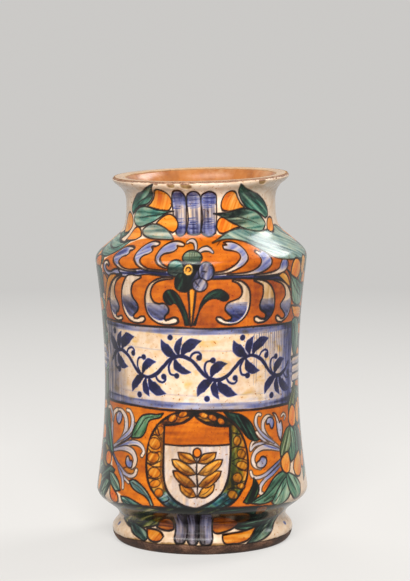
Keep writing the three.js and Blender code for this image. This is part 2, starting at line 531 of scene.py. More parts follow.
def ground(points, strength=1.13, streak=0):
    """A panel's orange ground, brushed on around the ornament in long uneven strokes"""
    patch = drawn(*points)
    patch.wash("orange", strength, streak, rough=0.1)
    layers["orange"][patch.where] *= 1 + 0.15 * PATCHES[patch.where] + 0.13 * MOTTLE[patch.where]
    return patch


def scroll_leaf(body, belly, deep, tan=0.1):
    """A white acanthus leaf that curls over at its foot, with blue brushed into its belly"""
    leaf = drawn(*body)
    leaf.wash("ochre", tan, 90, 0.5, leaf.up(160, 168))
    leaf.wash("dark", 0.1 + 0.2 * tan, 90, 0.6, leaf.up(158, 166))
    fold = Shape(outline(*belly))
    top = fold.z.max() - REACH
    soft = 0.35 * fold.up(top + 1, top - 2) + 0.65 * fold.up(top - 1, top - 9)
    fold.wash("blue", 0.3 + 0.75 * deep, 0, 0.3, soft).wash("dark", 0.22 + 0.18 * deep, 150, 0.6, soft)
    fold.hatch("blue", 0.5 + 0.7 * deep, 0, 2.3, soft)
    fold.rim(0.9, 0.95, "blue", fade=fold.up(top - 1, top - 5))
    for step in (0.3, 1.5, 2.6):
        hatch = 1 - step_up(np.abs(fold.z - top + step + 0.25 * HAND[fold.where]), 0.15, 0.5)
        blend_in("blue", fold.where, 0.5 * deep * fold.mask * hatch)
    leaf.rim(1.15, 1.0)


def curl_leaf(body, shade, deep, streak=30):
    """A white leaf with a rolled head, washed blue across its middle"""
    leaf = drawn(*body)
    leaf.wash("blue", 1.3 * deep, streak, rough=0.5, fade=shade(leaf), inset=0.7)
    leaf.hatch("blue", 1.5 * deep, streak, 1.8, shade(leaf)).rim(1.1, 0.85)


def upper_panel():
    """The orange panel above the label, with its white scrolls and the flower"""
    panel = ground([[(-79, 148), (-81, 160), (-79, 175), (-77, 186), (-72, 191), (-65, 197), (-56, 201.5),
                     (-47, 203), (-35, 203.6), (-26, 205), (-15, 207), (0, 208), (12, 206), (22, 203.5),
                     (32, 201.3), (42, 198), (52, 194), (62, 190.5), (72, 188), (79, 180), (77, 168),
                     (73, 157), (76, 147.5)], [(40, 146.8), (0, 148), (-40, 148.2)]])
    # Deeper orange to the right low in the panel, and lighter towards its top on the shoulder: the lighter
    # top is a painted sheen
    east = panel.right(-8, 10) * (1 - 0.8 * panel.right(50, 58))
    deeper = 0.1 * panel.mask * east * panel.up(185, 178)
    layers["orange"][panel.where] *= 1 + deeper - 0.22 * panel.up(186, 196)
    panel.wash("ochre", 0.16, 90, 0.9, (0.3 + 0.7 * east) * panel.up(184, 176))
    scroll_stem()
    lower_scrolls()
    upper_scrolls()
    flower()


def scroll_stem():
    """The pair of stems that the scrolls grow from, out of the back of the flower"""
    left = drawn([(-14, 181), (-24, 181.5), (-34, 182.3), (-42, 181), (-50, 179.7), (-58, 179.8)],
                 [(-62, 181.5), (-57, 184), (-48, 184.6), (-38, 185.6), (-28, 185.2), (-14, 184.6)], [])
    left.wash("blue", 0.3, 0).rim(1.0, 0.85)
    brush([(-18, 182.6), (-28, 183.2), (-35, 183.9), (-43, 182.8), (-52, 181.9), (-61, 182.2)], 2.0, 1.4,
          "blue", (1, 0.3))
    right = drawn([(6, 179.4), (20, 179.2), (32, 178.5), (44, 177), (58, 174.8)],
                  [(60, 176.6), (50, 179.2), (40, 180.6), (30, 181.6), (18, 182.2), (6, 182.2)], [])
    right.wash("blue", 1.25, 0, 0.4).wash("dark", 0.4, 0, 0.8).rim(0.9, 0.95)
    brush([(8, 181.9), (20, 181.8), (30, 181.2)], 0.7, 0.2, "blue", (0.6, 0.3), over=True)


def lower_scrolls():
    """The six leaves that hang from the stems, from left to right as they were painted"""
    scroll_leaf([[(-17.5, 180.8), (-25, 180.3), (-32.7, 176.3), (-36.5, 170), (-37.4, 163), (-36, 157),
                  (-32.3, 152.7), (-27, 150.3), (-21, 150), (-16.5, 150.8)], [(-15, 152.2), (-15.3, 154.2)],
                 [(-17.5, 154.9), (-20, 154), (-23.2, 152.8)],
                 [(-24.2, 154.2), (-23.4, 156), (-21.4, 158), (-21, 160.3), (-22.2, 162.6), (-24.5, 163.7),
                  (-27.5, 163.3)],
                 [(-31, 164.5), (-32.9, 168.5), (-32.3, 172.5), (-29.8, 176.3), (-25, 178.8), (-17.5, 180)],
                 []],
                [[(-37, 163.8), (-31.5, 164), (-27.5, 163.2), (-24.5, 163.6), (-22.2, 162.4), (-21.2, 160),
                  (-21.8, 157.8), (-23.6, 156), (-24.3, 154)], [(-27, 152.9), (-31, 154), (-34.5, 157.3)]],
                0.78)
    scroll_leaf([[(-39, 181), (-48.7, 181), (-53, 177), (-56, 171.5), (-57.3, 165), (-56.7, 159),
                  (-54.5, 154.5), (-50.5, 151), (-45, 149.9), (-40, 150.7)], [(-38.1, 152.7), (-38.8, 154.6)],
                 [(-41.5, 154.4), (-44, 153), (-47, 152.8)],
                 [(-47.6, 154.3), (-46, 156), (-43.6, 158.3), (-43.1, 160.6), (-44.2, 163.3), (-46.5, 165.7)],
                 [(-47.9, 169), (-47.2, 173.3), (-44.7, 176.7), (-39, 179.9)], []],
                [[(-56.8, 168.5), (-53, 167.5), (-48.5, 168.3), (-46.6, 165.6), (-44.3, 163.2),
                  (-43.4, 160.5), (-44.2, 158.2), (-46.6, 156)],
                 [(-48.5, 154.2), (-51.5, 155.3), (-54.5, 159.5), (-56.3, 163)]], 0.5, 0.03)
    scroll_leaf([[(-55, 181), (-61, 178.6), (-66, 174.8), (-70, 168.7), (-71.9, 161), (-70.9, 155),
                  (-68, 151.3), (-63.5, 149.9), (-59.5, 150.4)], [(-57.9, 152), (-58.6, 153.4)],
                 [(-60.5, 153.2), (-63, 152.2), (-65, 152.6)],
                 [(-64.8, 155), (-62, 156.5), (-60.9, 159), (-61.8, 162), (-64, 165)],
                 [(-64.6, 169), (-63.3, 173), (-60.3, 176.8), (-55, 180)], []],
                [[(-71.2, 164), (-68, 162.5), (-64, 164), (-62, 162), (-61, 159), (-62, 156.7)],
                 [(-65.2, 154), (-68, 154.5), (-70.8, 158)]], 0.4)
    scroll_leaf([[(19.5, 178.6), (25, 177.4), (29, 174.3), (31.3, 170), (31.9, 164.5), (31.2, 159),
                  (29, 154.8), (25, 151.3), (20, 149.9), (14.5, 150.3), (11, 151.8)],
                 [(9.4, 153.8), (10, 155.1)], [(12.5, 154.6), (15.5, 152.6), (18.5, 152.4)],
                 [(19.6, 154.6), (17.6, 156.5), (15.4, 159), (15.3, 161.5), (17, 163.8), (20.5, 165.2)],
                 [(24.3, 166.6), (26, 169.5), (25.4, 173), (23, 176), (19.5, 177.6)], []],
                [[(30.2, 163.6), (24, 163.8), (19.5, 163.3), (17, 163.6), (15.6, 161.5), (15.8, 159),
                  (18, 156.6)], [(19.6, 154), (17, 152.4), (21, 151.6), (25.5, 153.6), (28.5, 157.5)]], 1.15)
    scroll_leaf([[(34, 178), (41, 176.6), (46, 173.8), (49.7, 169.3), (51.4, 164), (51.6, 159), (50.2, 155),
                  (47, 151.8), (43, 149.9), (38.5, 149.6)],
                 [(35.9, 151), (35.4, 153.4)],
                 [(37.5, 153.8), (40.5, 152.2), (44, 151.6)],
                 [(44.7, 153.8), (43.5, 156), (40.6, 157.8), (39.3, 160.5), (39.8, 163.5)],
                 [(41.2, 166.5), (41.3, 170), (40.2, 173.8), (34, 177)], []],
                [[(50.6, 165), (45, 164.6), (40.4, 165), (39.4, 162), (40.2, 158.7), (43.4, 156.4)],
                 [(44.8, 154), (43.5, 151.4), (47.5, 153), (50.4, 157)]], 0.85, 0.26)
    scroll_leaf([[(50, 176.7), (57, 174.7), (62.5, 171.8), (66.5, 168), (69.2, 163), (69.7, 158), (68, 153),
                  (64.5, 150), (59.5, 148.2)],
                 [(55.5, 149), (53.6, 151.4), (54.4, 153)],
                 [(56.7, 152.2), (59.3, 150.3), (62.5, 150.6)],
                 [(63, 152.5), (60.8, 155), (58, 157.5), (57.4, 160), (59.5, 162)],
                 [(62, 165), (60.8, 169.3), (57, 173), (50, 175.8)], []],
                [[(68.6, 163), (64, 161.6), (59.5, 161.8), (57.6, 160), (58.4, 157.6), (61, 155)],
                 [(63.2, 152.6), (62, 150.8), (65.5, 152.2), (68, 156.5)]], 0.55)


def upper_scrolls():
    """The leaves and the knob that curl above the stems, and the strokes around them"""
    curl_leaf([[(-20, 187), (-22.3, 188), (-25, 189.7), (-26.8, 192), (-26.5, 194), (-24.5, 195.2),
                (-21.7, 195.6), (-18.8, 196.4)], [(-17, 198.2), (-17.7, 199.6)],
               [(-15.5, 199.3), (-13, 199.2)],
               [(-12.1, 200.2), (-14, 201.4), (-18.3, 202.2), (-22.5, 201.9), (-26.5, 200.3), (-29.3, 197.8),
                (-30.4, 194.5), (-29.8, 191.7), (-27, 188.7), (-23.7, 187), (-20, 186)], []],
              lambda leaf: leaf.between((-17, 203), (-21, 199)) * leaf.up(188.5, 191.5), 0.4)
    curl_leaf([[(-22, 185.1), (-29, 185.4), (-34, 186), (-37, 187.4), (-39.7, 189.3), (-41, 191.7),
                (-39.8, 193.6), (-37, 194.5)], [(-35, 196), (-35.7, 197.7)], [(-37.6, 198.9), (-34, 199)],
               [(-32, 200.2), (-33.3, 201.4), (-37.3, 201.8), (-41.5, 200.9), (-45, 198.6), (-46.9, 195.5),
                (-46.3, 192.2), (-44, 189.7), (-40.5, 187), (-36, 185.2), (-30, 184.5), (-22, 184.3)], []],
              lambda leaf: leaf.between((-35, 202), (-39, 197.5)) * leaf.up(187, 190), 0.42)
    curl_leaf([[(-43, 184.6), (-50, 184.8), (-54.4, 186), (-57.3, 188), (-58.1, 190.3), (-56.7, 192.2),
                (-54.2, 192.9)], [(-53.2, 194.3), (-54.6, 195.9)], [(-52.5, 196)],
               [(-51.6, 197), (-54.5, 198), (-59.3, 198), (-62.9, 196.8), (-65, 194.6), (-65.4, 192),
                (-64.6, 190), (-62.5, 188), (-59, 185.8), (-55, 184.2), (-50, 183.5), (-43, 183.7)], []],
              lambda leaf: leaf.between((-56, 199), (-59, 195.5)) * leaf.up(185.5, 188.5), 0.5)
    curl_leaf([[(7, 183.4), (14, 184.4), (19, 186.7), (23, 189.5), (25.7, 192.3), (25.3, 194.6),
                (22.5, 195.8), (18.5, 196.6)], [(16, 197.3), (15.9, 199.4)], [(19, 199.6), (17, 200.7)],
               [(20.5, 201.2), (25, 200.6), (29, 198.4), (31, 195.2), (30.6, 191.5), (27.5, 188.3),
                (22.5, 185.3), (16, 183), (7, 182.2)], []],
              lambda leaf: leaf.between((20, 203), (23, 198)) * leaf.up(185.5, 188), 0.42)
    curl_leaf([[(16, 182.4), (24, 182.4), (30, 182.9), (35, 184.6), (38, 187), (39.5, 190), (39, 192.5)],
               [(37.5, 194.4), (39.3, 195.4)],
               [(41.5, 194.3), (43, 195.6)],
               [(45.6, 194), (47.4, 190.5), (46.6, 186.7), (43.5, 184), (38.5, 181.9), (32, 181), (24, 181.1),
                (16, 181.7)], []],
              lambda leaf: leaf.between((40, 196), (42, 191)) * leaf.up(181, 184), 0.5)
    curl_leaf([[(34, 180.6), (42, 180.9), (49, 181.7), (53.2, 183.4), (54.5, 186)],
               [(57, 188.7), (60.7, 188), (61.8, 185), (60.6, 182), (57, 180.2), (50, 179.4), (42, 179.4),
                (34, 180)], []],
              lambda leaf: leaf.up(180, 186), 0.5, 90)
    knob = drawn([(-56, 181), (-63, 180), (-67, 178.8), (-71, 178.9), (-74.3, 180.8), (-75.7, 184),
                  (-74.8, 187), (-72, 188.6), (-69, 188), (-67.4, 186.3)],
                 [(-68.6, 185.2), (-70.2, 186.2), (-72, 185.3), (-72, 183), (-69.5, 181.9), (-65.5, 182.1),
                  (-62, 183.7), (-58, 184.4)], [])
    knob.wash("blue", 0.5, 0, fade=1 - knob.near(-71.5, 187.5, 1.5, 2.5)).rim(1.1, 0.9)
    for points in ([(-10.6, 201.4), (-8, 202.5), (-5.4, 202), (-4, 200.3), (-3.7, 198), (-4.3, 195.5)],
                   [(-2.2, 194.8), (-0.5, 196.8), (2.5, 197.8), (5.5, 197.4), (7.8, 195.7)]):
        brush(points, 3.6, 0.9, "dark", (0.75, 0.6), over=True)
        brush(points, 1.7, 0.0, "dark", (0.7, 0.5), over=True)
        brush(points, 1.0, 0.28, "blue", (0.2, 1.0))
    brush([(9, 200.6), (13, 202.3), (18, 204)], 0.9, 0.9)
    brush([(11.5, 199.3), (15, 201.7), (20, 202.6), (27, 202.3), (34, 200.4)], 0.8, 0.7, ends=(0.3, 0.1))


def flower():
    """The flower in the middle of the upper panel, on its yellow stem between two green fronds"""
    stem = drawn([(-8.2, 174), (-7.7, 165), (-7.5, 157), (-7.3, 150)],
                 [(-6.2, 150), (-5.2, 157), (-4.2, 165), (-3.3, 174)], [])
    stem.wash("yellow", 0.85, 90).wash("ochre", 0.4, 90).rim(1.3, 0.95)
    fronds = drawn([(-10.4, 150), (-11, 153.5), (-13, 159), (-15.6, 163.4), (-17.6, 164)],
                   [(-20.6, 163), (-23.4, 165.4), (-23.8, 169.4), (-21.4, 172.2), (-17.6, 172.2),
                    (-14.2, 168.8), (-11.4, 163), (-9.2, 156.6), (-8, 150)], [])
    fronds.wash("green", 1.1, 120, 0.5).wash("dark", 0.6, 120, 0.9).hatch("dark", 0.9, 120, 1.9).rim(1.0, 1.0)
    fronds = drawn([(-5.2, 150), (-3, 155), (-1, 160), (1.5, 163.8), (4.5, 166.3), (8, 167.2), (11, 166.6),
                    (13.8, 165.2)],
                   [(16.3, 165.6), (17.2, 167.8), (15.3, 170.4), (11.5, 172.6), (7, 171.9), (3, 169),
                    (0, 164), (-2, 157.5), (-4, 150)], [])
    fronds.wash("green", 1.25, 30, 0.4).wash("dark", 0.85, 30, 0.6).hatch("dark", 0.9, 30, 1.9).rim(1.0, 1.0)
    brush([(3, 167.5), (8, 169.8), (12.5, 168.7)], 0.9, 0.8)
    reserved(oval(-6.4, 184, 7.6, 9.4, 0)).wash("blue", 1.2, 60, 0.6).wash("dark", 0.7, 60, 0.8)
    petal = reserved(oval(-5.7, 193, 6.3, 4, 4))
    petal.wash("green", 0.45, 0, 0.5).wash("dark", 0.36, 0, 0.8).hatch("dark", 0.6, 90, 1.7).rim(0.9, 0.95)
    petal = reserved(loop((-20.5, 186), (-19.5, 190), (-16, 191.7), (-12, 190.2), (-10.5, 186.5),
                          (-12, 182.5), (-16.5, 181.8), (-19.8, 183)))
    petal.wash("green", 0.55, 0, 0.6).wash("blue", 0.2, 0).wash("dark", 0.85, 0, 0.7, petal.up(191, 184))
    petal.hatch("green", 1.4, 30, 1.9).rim(0.9, 0.9)
    petal = reserved(loop((-16.3, 176), (-15.5, 181), (-12, 183.5), (-7.5, 182), (-5.8, 176.5), (-8, 172.2),
                          (-12, 171.6), (-15.4, 173.2)))
    petal.wash("green", 1.35, 90, 0.5).wash("dark", 0.9, 60, 0.5).hatch("dark", 1.0, 60, 1.9).rim(0.9, 1.0)
    petal = reserved(oval(3, 184.4, 4.8, 5.8, -6))
    petal.wash("blue", 0.6, 90, 0.6).wash("dark", 0.38, 60, 0.7).hatch("blue", 1.1, 90, 1.7).rim(0.95, 0.95)
    brush([(0.2, 184.8), (2, 184.4), (3.6, 184)], 0.8, 0.95)
    petal = reserved(oval(-0.9, 175.9, 4.6, 4.3, 0))
    petal.wash("blue", 0.65, 60, 0.6).wash("dark", 0.38, 60, 0.7).hatch("blue", 1.2, 60, 1.7).rim(0.95, 0.95)
    brush([(-4.5, 179), (-2.5, 176.3), (-1.2, 174.5)], 0.9, 0.95)
    heart = reserved(oval(-7.7, 185.6, 3.3, 3.9, 10))
    heart.wash("yellow", 0.75, 0).wash("ochre", 0.45, fade=heart.near(-7.7, 185.6, 0.6, 2.2)).rim(1.0, 0.8)
    brush([(-9.2, 184.6), (-8.9, 186.8), (-7, 187.1), (-6.3, 185.4), (-7.6, 184.4)], 0.75, 0.9)
    Shape(oval(-4.7, 185.3, 1.0, 4.2)).wash("blue", 0.5)


def fruit(body, ripe, streak, shade=None):
    """An orange fruit of the garlands, darker on one side, with a few strokes of the brush showing"""
    skin = reserved(body)
    yellow = np.interp(ripe, (0.2, 0.7, 1.1), (0.4, 0.7, 0.55))
    orange = np.interp(ripe, (0.2, 0.35, 0.7, 1.1, 1.5), (0.2, 0.36, 0.24, 0.12, 0.2))
    ochre = np.interp(ripe, (0.5, 1.1, 1.5), (0, 0.65, 0.9))
    skin.wash("yellow", yellow, streak, 0.3).wash("orange", orange, streak, 0.4)
    skin.wash("ochre", ochre, streak, 0.5)
    if shade is not None:
        darker = skin.between(*shade)
        skin.wash("orange", 0.1, streak, 0.4, darker).wash("ochre", 0.1 + 0.2 * ripe, streak, 0.6, darker)
    skin.hatch("orange", max(0.08, 0.32 - 0.2 * ripe), streak).hatch("ochre", 0.25 + 0.35 * ripe, streak, 3.1)
    return skin.rim(1.1, 0.95)


def leaf(body, green=0.6, blue=0.15, dark=0.0, streak=0, veins=(), line=0.85, shade=None):
    """A green leaf with a dark outline and veins; shade is where its darker half starts and ends"""
    blade = reserved(body)
    blade.wash("green", 1.1 * green, streak, 0.45).wash("blue", 0.5 * blue, streak, 0.7)
    blade.wash("dark", 0.1, streak, 1.0, inset=0.8)
    if dark:
        fade = blade.between(*shade) if shade is not None else None
        blade.wash("dark", 0.8 * dark, streak, 0.8, fade)
    blade.hatch("green", 0.25 + 1.6 * green, streak, 1.9).hatch("dark", min(0.5, 0.8 * green), streak, 2.9)
    blade.rim(1.05, min(line + 0.1, 1.0))
    for vein in veins:
        brush(vein, 0.7, 0.85, ends=(0.9, 0.2))
    return blade


def neck():
    """Leaves and fruit to both sides of three tablets, around the neck"""
    neck_columns()
    fruit(outline([(-52, 223.2), (-47, 225.6), (-42.5, 229.5), (-39.5, 233.3), (-35.5, 234.9), (-31, 233.8),
                   (-27.5, 231.2), (-25.6, 227.5), (-25.9, 224)],
                  [(-28.5, 221.4), (-33, 220.7), (-40, 221.5)]), 0.27, 60,
          ((-43, 223), (-33, 231))).wash("ochre", 0.1, 60, 0.6)
    fruit(outline([(-41, 212.8), (-35, 216.6), (-30, 218.6), (-25.5, 218.3), (-21.8, 216), (-19.9, 212.4),
                   (-21, 209), (-23.8, 207.2)], [(-29, 208.4), (-35, 211)]), 0.3, 0).wash("orange", 0.12)
    fruit(outline([(40.5, 221.4), (36.5, 224), (32.8, 228), (30, 231.3), (26, 232.9), (22, 232), (19, 228.5),
                   (17.6, 224), (18.6, 220.6)], [(25, 219.8), (33, 220.4)]),
          0.28, 60, ((33, 221), (24, 228))).wash("ochre", 0.14, 60, 0.6)
    fruit(outline([(37, 209.6), (29, 211.8), (24, 214), (20, 216), (16.5, 215.7), (14, 213), (13.7, 209.5),
                   (15.3, 206.8), (18.5, 205.9)], [(24, 207.3), (30, 208.8)]),
          0.3, 60, ((28, 209), (18, 211))).wash("ochre", 0.14, 60, 0.6)
    leaf(outline([(-37, 238.4), (-40.5, 234.8), (-43, 231), (-46.5, 227.4), (-52, 224.6), (-58, 223.6),
                  (-64, 222.5), (-69, 219.3), (-72.5, 217)],
                 [(-75.8, 219.6), (-74.5, 223.3), (-69, 227.3), (-61, 230.8), (-53, 232.6), (-45, 235.6)]),
         0.72, 0.2, 0.55, 30, [[(-41, 235), (-50, 229.5), (-60, 226.3), (-70, 222)]],
         shade=((-56, 225), (-40, 236)))
    leaf(outline([(-24, 220.6), (-31, 219.4), (-37.5, 216.3), (-44, 213.6), (-50, 211.8), (-57, 210),
                  (-63, 209.8), (-68, 211.2)],
                 [(-70.8, 214.3), (-69, 218), (-64.5, 221.2), (-57, 223), (-49, 222.6), (-40, 221.3)]), 0.46,
         0.2, 0.15, 0, [[(-28, 220), (-40, 218), (-52, 216.6), (-64, 215)]], shade=((-50, 214), (-69, 219)))
    leaf(outline([(-22, 203), (-25.5, 206.3), (-30, 209.2), (-36, 211.2), (-43, 212.2), (-50, 211),
                  (-55.5, 208.2)], [(-53, 205.3), (-45, 203.5), (-36, 203)]),
         0.22, 0.22, 0.1, 0, line=0.7)
    leaf(outline([(30.5, 237.2), (31.6, 233.2), (34.5, 229), (38, 225), (42, 221.5), (47, 219.7), (53, 218.5),
                  (60, 215.8), (66, 213.2)],
                 [(70.6, 214.3), (70.8, 218), (67.5, 222), (62, 225.5), (54, 229), (45, 231.6), (37, 234)]),
         0.68, 0.22, 0.5, 150,
         [[(33, 234.5), (42, 229.5), (52, 227), (61, 223)], [(47, 226.5), (56, 222.5), (64, 219)]],
         shade=((48, 222), (46, 231)))
    leaf(outline([(10.8, 218.7), (16, 217.4), (22, 215), (29, 212), (37, 208.9), (45, 206.3), (52, 205),
                  (59, 205.8)],
                 [(64.8, 209.5), (62, 213), (56, 216.8), (49, 219.2), (41, 220.6), (33, 220.4), (24, 219)]),
         0.42, 0.2, 0.6, 0, [[(16, 217.9), (30, 216.4), (44, 213.4), (57, 209.6)]],
         shade=((50, 208), (30, 218)))
    leaf(outline([(8.5, 201), (15, 203.6), (20, 205.9), (26, 207.7), (33, 208.5), (41, 207.6), (50, 206),
                  (60, 205.6), (72, 206.8), (84, 207.4), (97, 204)],
                 [(99, 195), (93, 188.4), (81, 186.8), (68, 187.4), (57, 188.6), (50, 190.8), (44, 195),
                  (37, 199.4), (29, 201.8), (19, 202.6)]),
         0.34, 0.34, 0.08, 150, line=0.6)
    brush([(30, 204.6), (48, 201), (66, 197.6), (88, 195)], 0.7, 0.4, "green", (0.9, 0.2))
    brush([(10.6, 218.8), (14, 218.2), (19, 218.4)], 1.3, 0.97)
    fruit(outline([(-89, 208), (-88, 213.5), (-84, 217.3), (-79, 218), (-74.5, 215.8), (-72, 211.5),
                   (-73.5, 207.5), (-78, 205)], [(-84, 204.7)]), 0.25, 150).wash("yellow", 0.3)
    fruit(outline([(-70, 200.8), (-69.8, 205), (-66.5, 208.6), (-62, 209.6), (-57.5, 207.6), (-54.3, 204)],
                  [(-58, 202), (-64, 201)]), 0.3, 0).wash("yellow", 0.3)
    fruit(outline([(65.5, 206), (68, 210), (71, 212.8), (75, 213.2), (79, 211.8)],
                  [(78, 207), (74, 204.5), (69, 204)]), 0.3, 30)


def neck_columns():
    """Three lobed tablets side by side, brushed blue at both ends with loose level strokes"""
    chance = np.random.default_rng(90)
    for left, right, top, foot_left, foot_right, foot in ((-25.4, -12.6, 234.4, -21.8, -12.2, 205.2),
                                                          (-12.4, 0.2, 233.6, -12, 0.2, 205.8),
                                                          (0, 13.6, 233.2, 0, 13, 204.6)):
        middle, foot_middle = (left + right) / 2, (foot_left + foot_right) / 2
        tablet = drawn([(foot_left, 209), (left + 1.5, 216), (left, 226)],
                       [(left + 0.6, 230.5), (middle - 3, top - 0.7), (middle, top), (middle + 3, top - 0.7),
                        (right - 0.6, 230), (right, 224)], [(right, 216), (foot_right, 209)],
                       [(foot_right - 1.2, 206.5), (foot_middle, foot), (foot_left + 1.2, 206.5)])
        tablet.wash("blue", 0.48, 0, 0.4, tablet.up(222.5, 227))
        tablet.wash("dark", 0.22, 0, 0.5, tablet.up(226, 231))
        tablet.wash("blue", 0.48, 0, 0.4, tablet.up(214, 211.5)).wash("blue", 0.2, 90, 1.0)
        tablet.wash("dark", 0.2, 90, 0.8, tablet.up(226, 220))
        tablet.hatch("blue", 1.15, 0, 1.9, tablet.up(220, 224))
        tablet.hatch("blue", 1.0, 0, 1.9, tablet.up(216.5, 213)).rim(1.15, 0.95)
        for height in (232, 230.6, 229.2, 228, 226.6, 225.4, 224, 222.6, 216, 214.8, 213.6, 212.4, 210.8,
                       209.4):
            start, end = left + chance.uniform(0.9, 3), right - chance.uniform(0.9, 4)
            brush([(start, height), (middle, height + chance.uniform(-0.3, 0.3)), (end, height + 0.2)],
                  chance.uniform(0.5, 0.8), chance.uniform(0.7, 1.3), "blue", (0.9, 0.2))
        brush([(middle + 2, 224), (middle + 2.3, 217), (middle + 2, 212)], 1.5, 0.25, "blue")
        brush([(middle - 2.5, 224), (middle - 2.7, 217), (middle - 2.4, 213)], 0.8, 0.18, "ochre")


def banner():
    """The label's pale band between blue stripes, here filled with a running vine"""
    band = Shape(outline([(-80.5, 148.4), (-82.5, 122), (-81.5, 96)],
                         [(-40, 96.2), (0, 95.6), (40, 94.8), (76.5, 94)], [(74.5, 120), (75.5, 147)],
                         [(40, 147.4), (0, 148.2), (-40, 148.5)]))
    band.reserve().wash("ochre", 0.05, 0, 0.4).wash("ochre", 0.2, 0, 0.4, np.clip(MOTTLE[band.where], 0, 1))
    band.wash("blue", 0.12, 0, 0.8, band.up(112, 98))
    band.wash("blue", 0.5, 90, 0.4, band.right(58, 67)).wash("blue", 0.35, 90, 0.4, band.right(65, 71))
    band.wash("blue", 0.1, 90, 1.0, band.right(34, 50))
    # Towards the left end the label is washed blue and darkened; the darkening is painted shade
    band.wash("dark", 0.2, 90, 0.8, band.right(-50, -78)).wash("blue", 0.3, 90, 0.8, band.right(-50, -76))
    for low, high, deep in ((144.2, 148.2, 0.6), (95, 99.6, 0.42)):
        level = band.z + 0.018 * band.x
        inside = step_up(level, low - 0.3, low + 0.3) * (1 - step_up(level, high, high + 0.5))
        band.wash("blue", deep, 0, 0.35, inside).wash("dark", 0.2 * deep, 0, 0.6, inside)
    for height, width, strength in (
            (148.2, 1.3, 0.95), (144.2, 0.7, 0.5), (133.6, 0.45, 0.3), (104.8, 0.5, 0.3), (99.6, 0.6, 0.5),
            (95.2, 1.4, 0.95)):
        line = [(x, height - 0.016 * (x + 20) + 0.25 * math.sin(0.11 * x + height))
                for x in range(-80, 78, 8)]
        brush(line, width, strength, "blue" if width < 1 else "dark", (1, 1))
    chance = np.random.default_rng(70)
    for x in np.arange(36, 74, 1.9):
        top, foot_end = 143.6 - chance.uniform(0, 2), 143.6 - chance.uniform(12, 42)
        line, pressed = [(x, top), (x + 0.3, (top + foot_end) / 2), (x, foot_end)], chance.uniform(0.2, 0.5)
        brush(line, 0.8, pressed + 0.01 * (x - 36), "blue", (1, 0.2))
        brush(line, 0.5, pressed, "dark", (1, 0.1), lift=0.8)
    vine()


def vine():
    """A running vine in deep blue: a waving stem with leaves to both sides, tendrils and berries"""
    for start, flip in ((-74, 1), (-50, -1), (-26, 1), (-2, -1), (22, 1), (46, -1)):
        def at(*points):
            return [(start + across, 122 + flip * up - 0.016 * start) for across, up in points]
        brush(at((0, 0), (5, 5), (12, 7.6), (19, 5), (24, 0)), 2.3, 1.6, "blue", (0.9, 0.9))
        for leaf_points, width in (
                (((13, 7.5), (15, 12), (20, 16), (26, 17.5)), 6.6),
                (((10, 7), (5, 9.5), (1, 13.5), (-1, 18)), 5.8),
                (((11, 7.5), (10, 12), (11, 16), (13.5, 20)), 4.8),
                (((8, 6), (10, 1), (14, -2), (19, -2.8)), 5.6)):
            brush(at(*leaf_points), width, 1.65, "blue", (0.1, 0.04), lift=0.3)
        brush(at((18, 5.4), (20, 9), (23.5, 10.2), (25.6, 8.4), (24.4, 6.4)), 1.3, 1.5, "blue", (0.8, 0.9))
        brush(at((6, 4.6), (4, 0.6), (5, -4), (8.4, -5)), 1.3, 1.5, "blue", (0.8, 0.9))
        for across, up in ((24.4, 6.6), (9.4, -5.2), (5.4, 19.4)):
            Shape(oval(start + across, 122 + flip * up - 0.016 * start, 1.8, 1.8, 0, 14)).wash("blue", 1.6)


def ribbons():
    """Three bands of ribbon at each end of the label, bound around the garlands"""
    half = 20
    for side, heights, tone in ((1, (120.4, 115, 109.6), 0.2), (-1, (128.4, 123, 117.6), 0.4)):
        near = 76 if side > 0 else 86
        upper_end, lower_end = (side * (near + 3), heights[0] + 1), (side * (near + 3), heights[2] - 1)
        knot = reserved(loop(upper_end, (side * (near - 5), heights[1]), lower_end))
        knot.wash("blue", 0.7, 0, 0.6).wash("dark", 0.1, 0, 0.9)
        middle, far = side * (near + 8), side * (near + 2 * half + 12)
        for height in heights:
            band = drawn([(side * near, height), (side * (near + 1.6), height + 2.5), (middle, height + 2.7),
                          (side * (near + half + 6), height + 2.2), (far, height + 2.5)],
                         [(far + side * 2, height)],
                         [(far, height - 2.4), (side * (near + half + 6), height - 2.9),
                          (middle, height - 2.4), (side * (near + 1.6), height - 2.3)])
            band.wash("blue", tone, 0, 0.7, band.up(height + 1.4, height - 0.8))
            band.wash("blue", 0.25, 0, 0.7, band.right(side * (near + half), side * (near + half + 9)))
            band.rim(0.95, 0.9, "blue").rim(0.7, 0.6)


def lower_panel():
    """The orange panel below the label, with the wreath and the sprays"""
    ground([[(-80, 95.5), (-79, 84), (-72, 70), (-70, 55), (-64, 42), (-52, 35), (-40, 32), (-30, 29.5),
             (-5, 28), (20, 30), (40, 29), (52, 32), (62, 45), (70, 60), (74, 78), (76, 94)],
            [(40, 94.6), (0, 95.4), (-40, 96)]], 1.0)
    wreath()
    shield()
    left_spray()
    right_spray()
    panel_leaves()


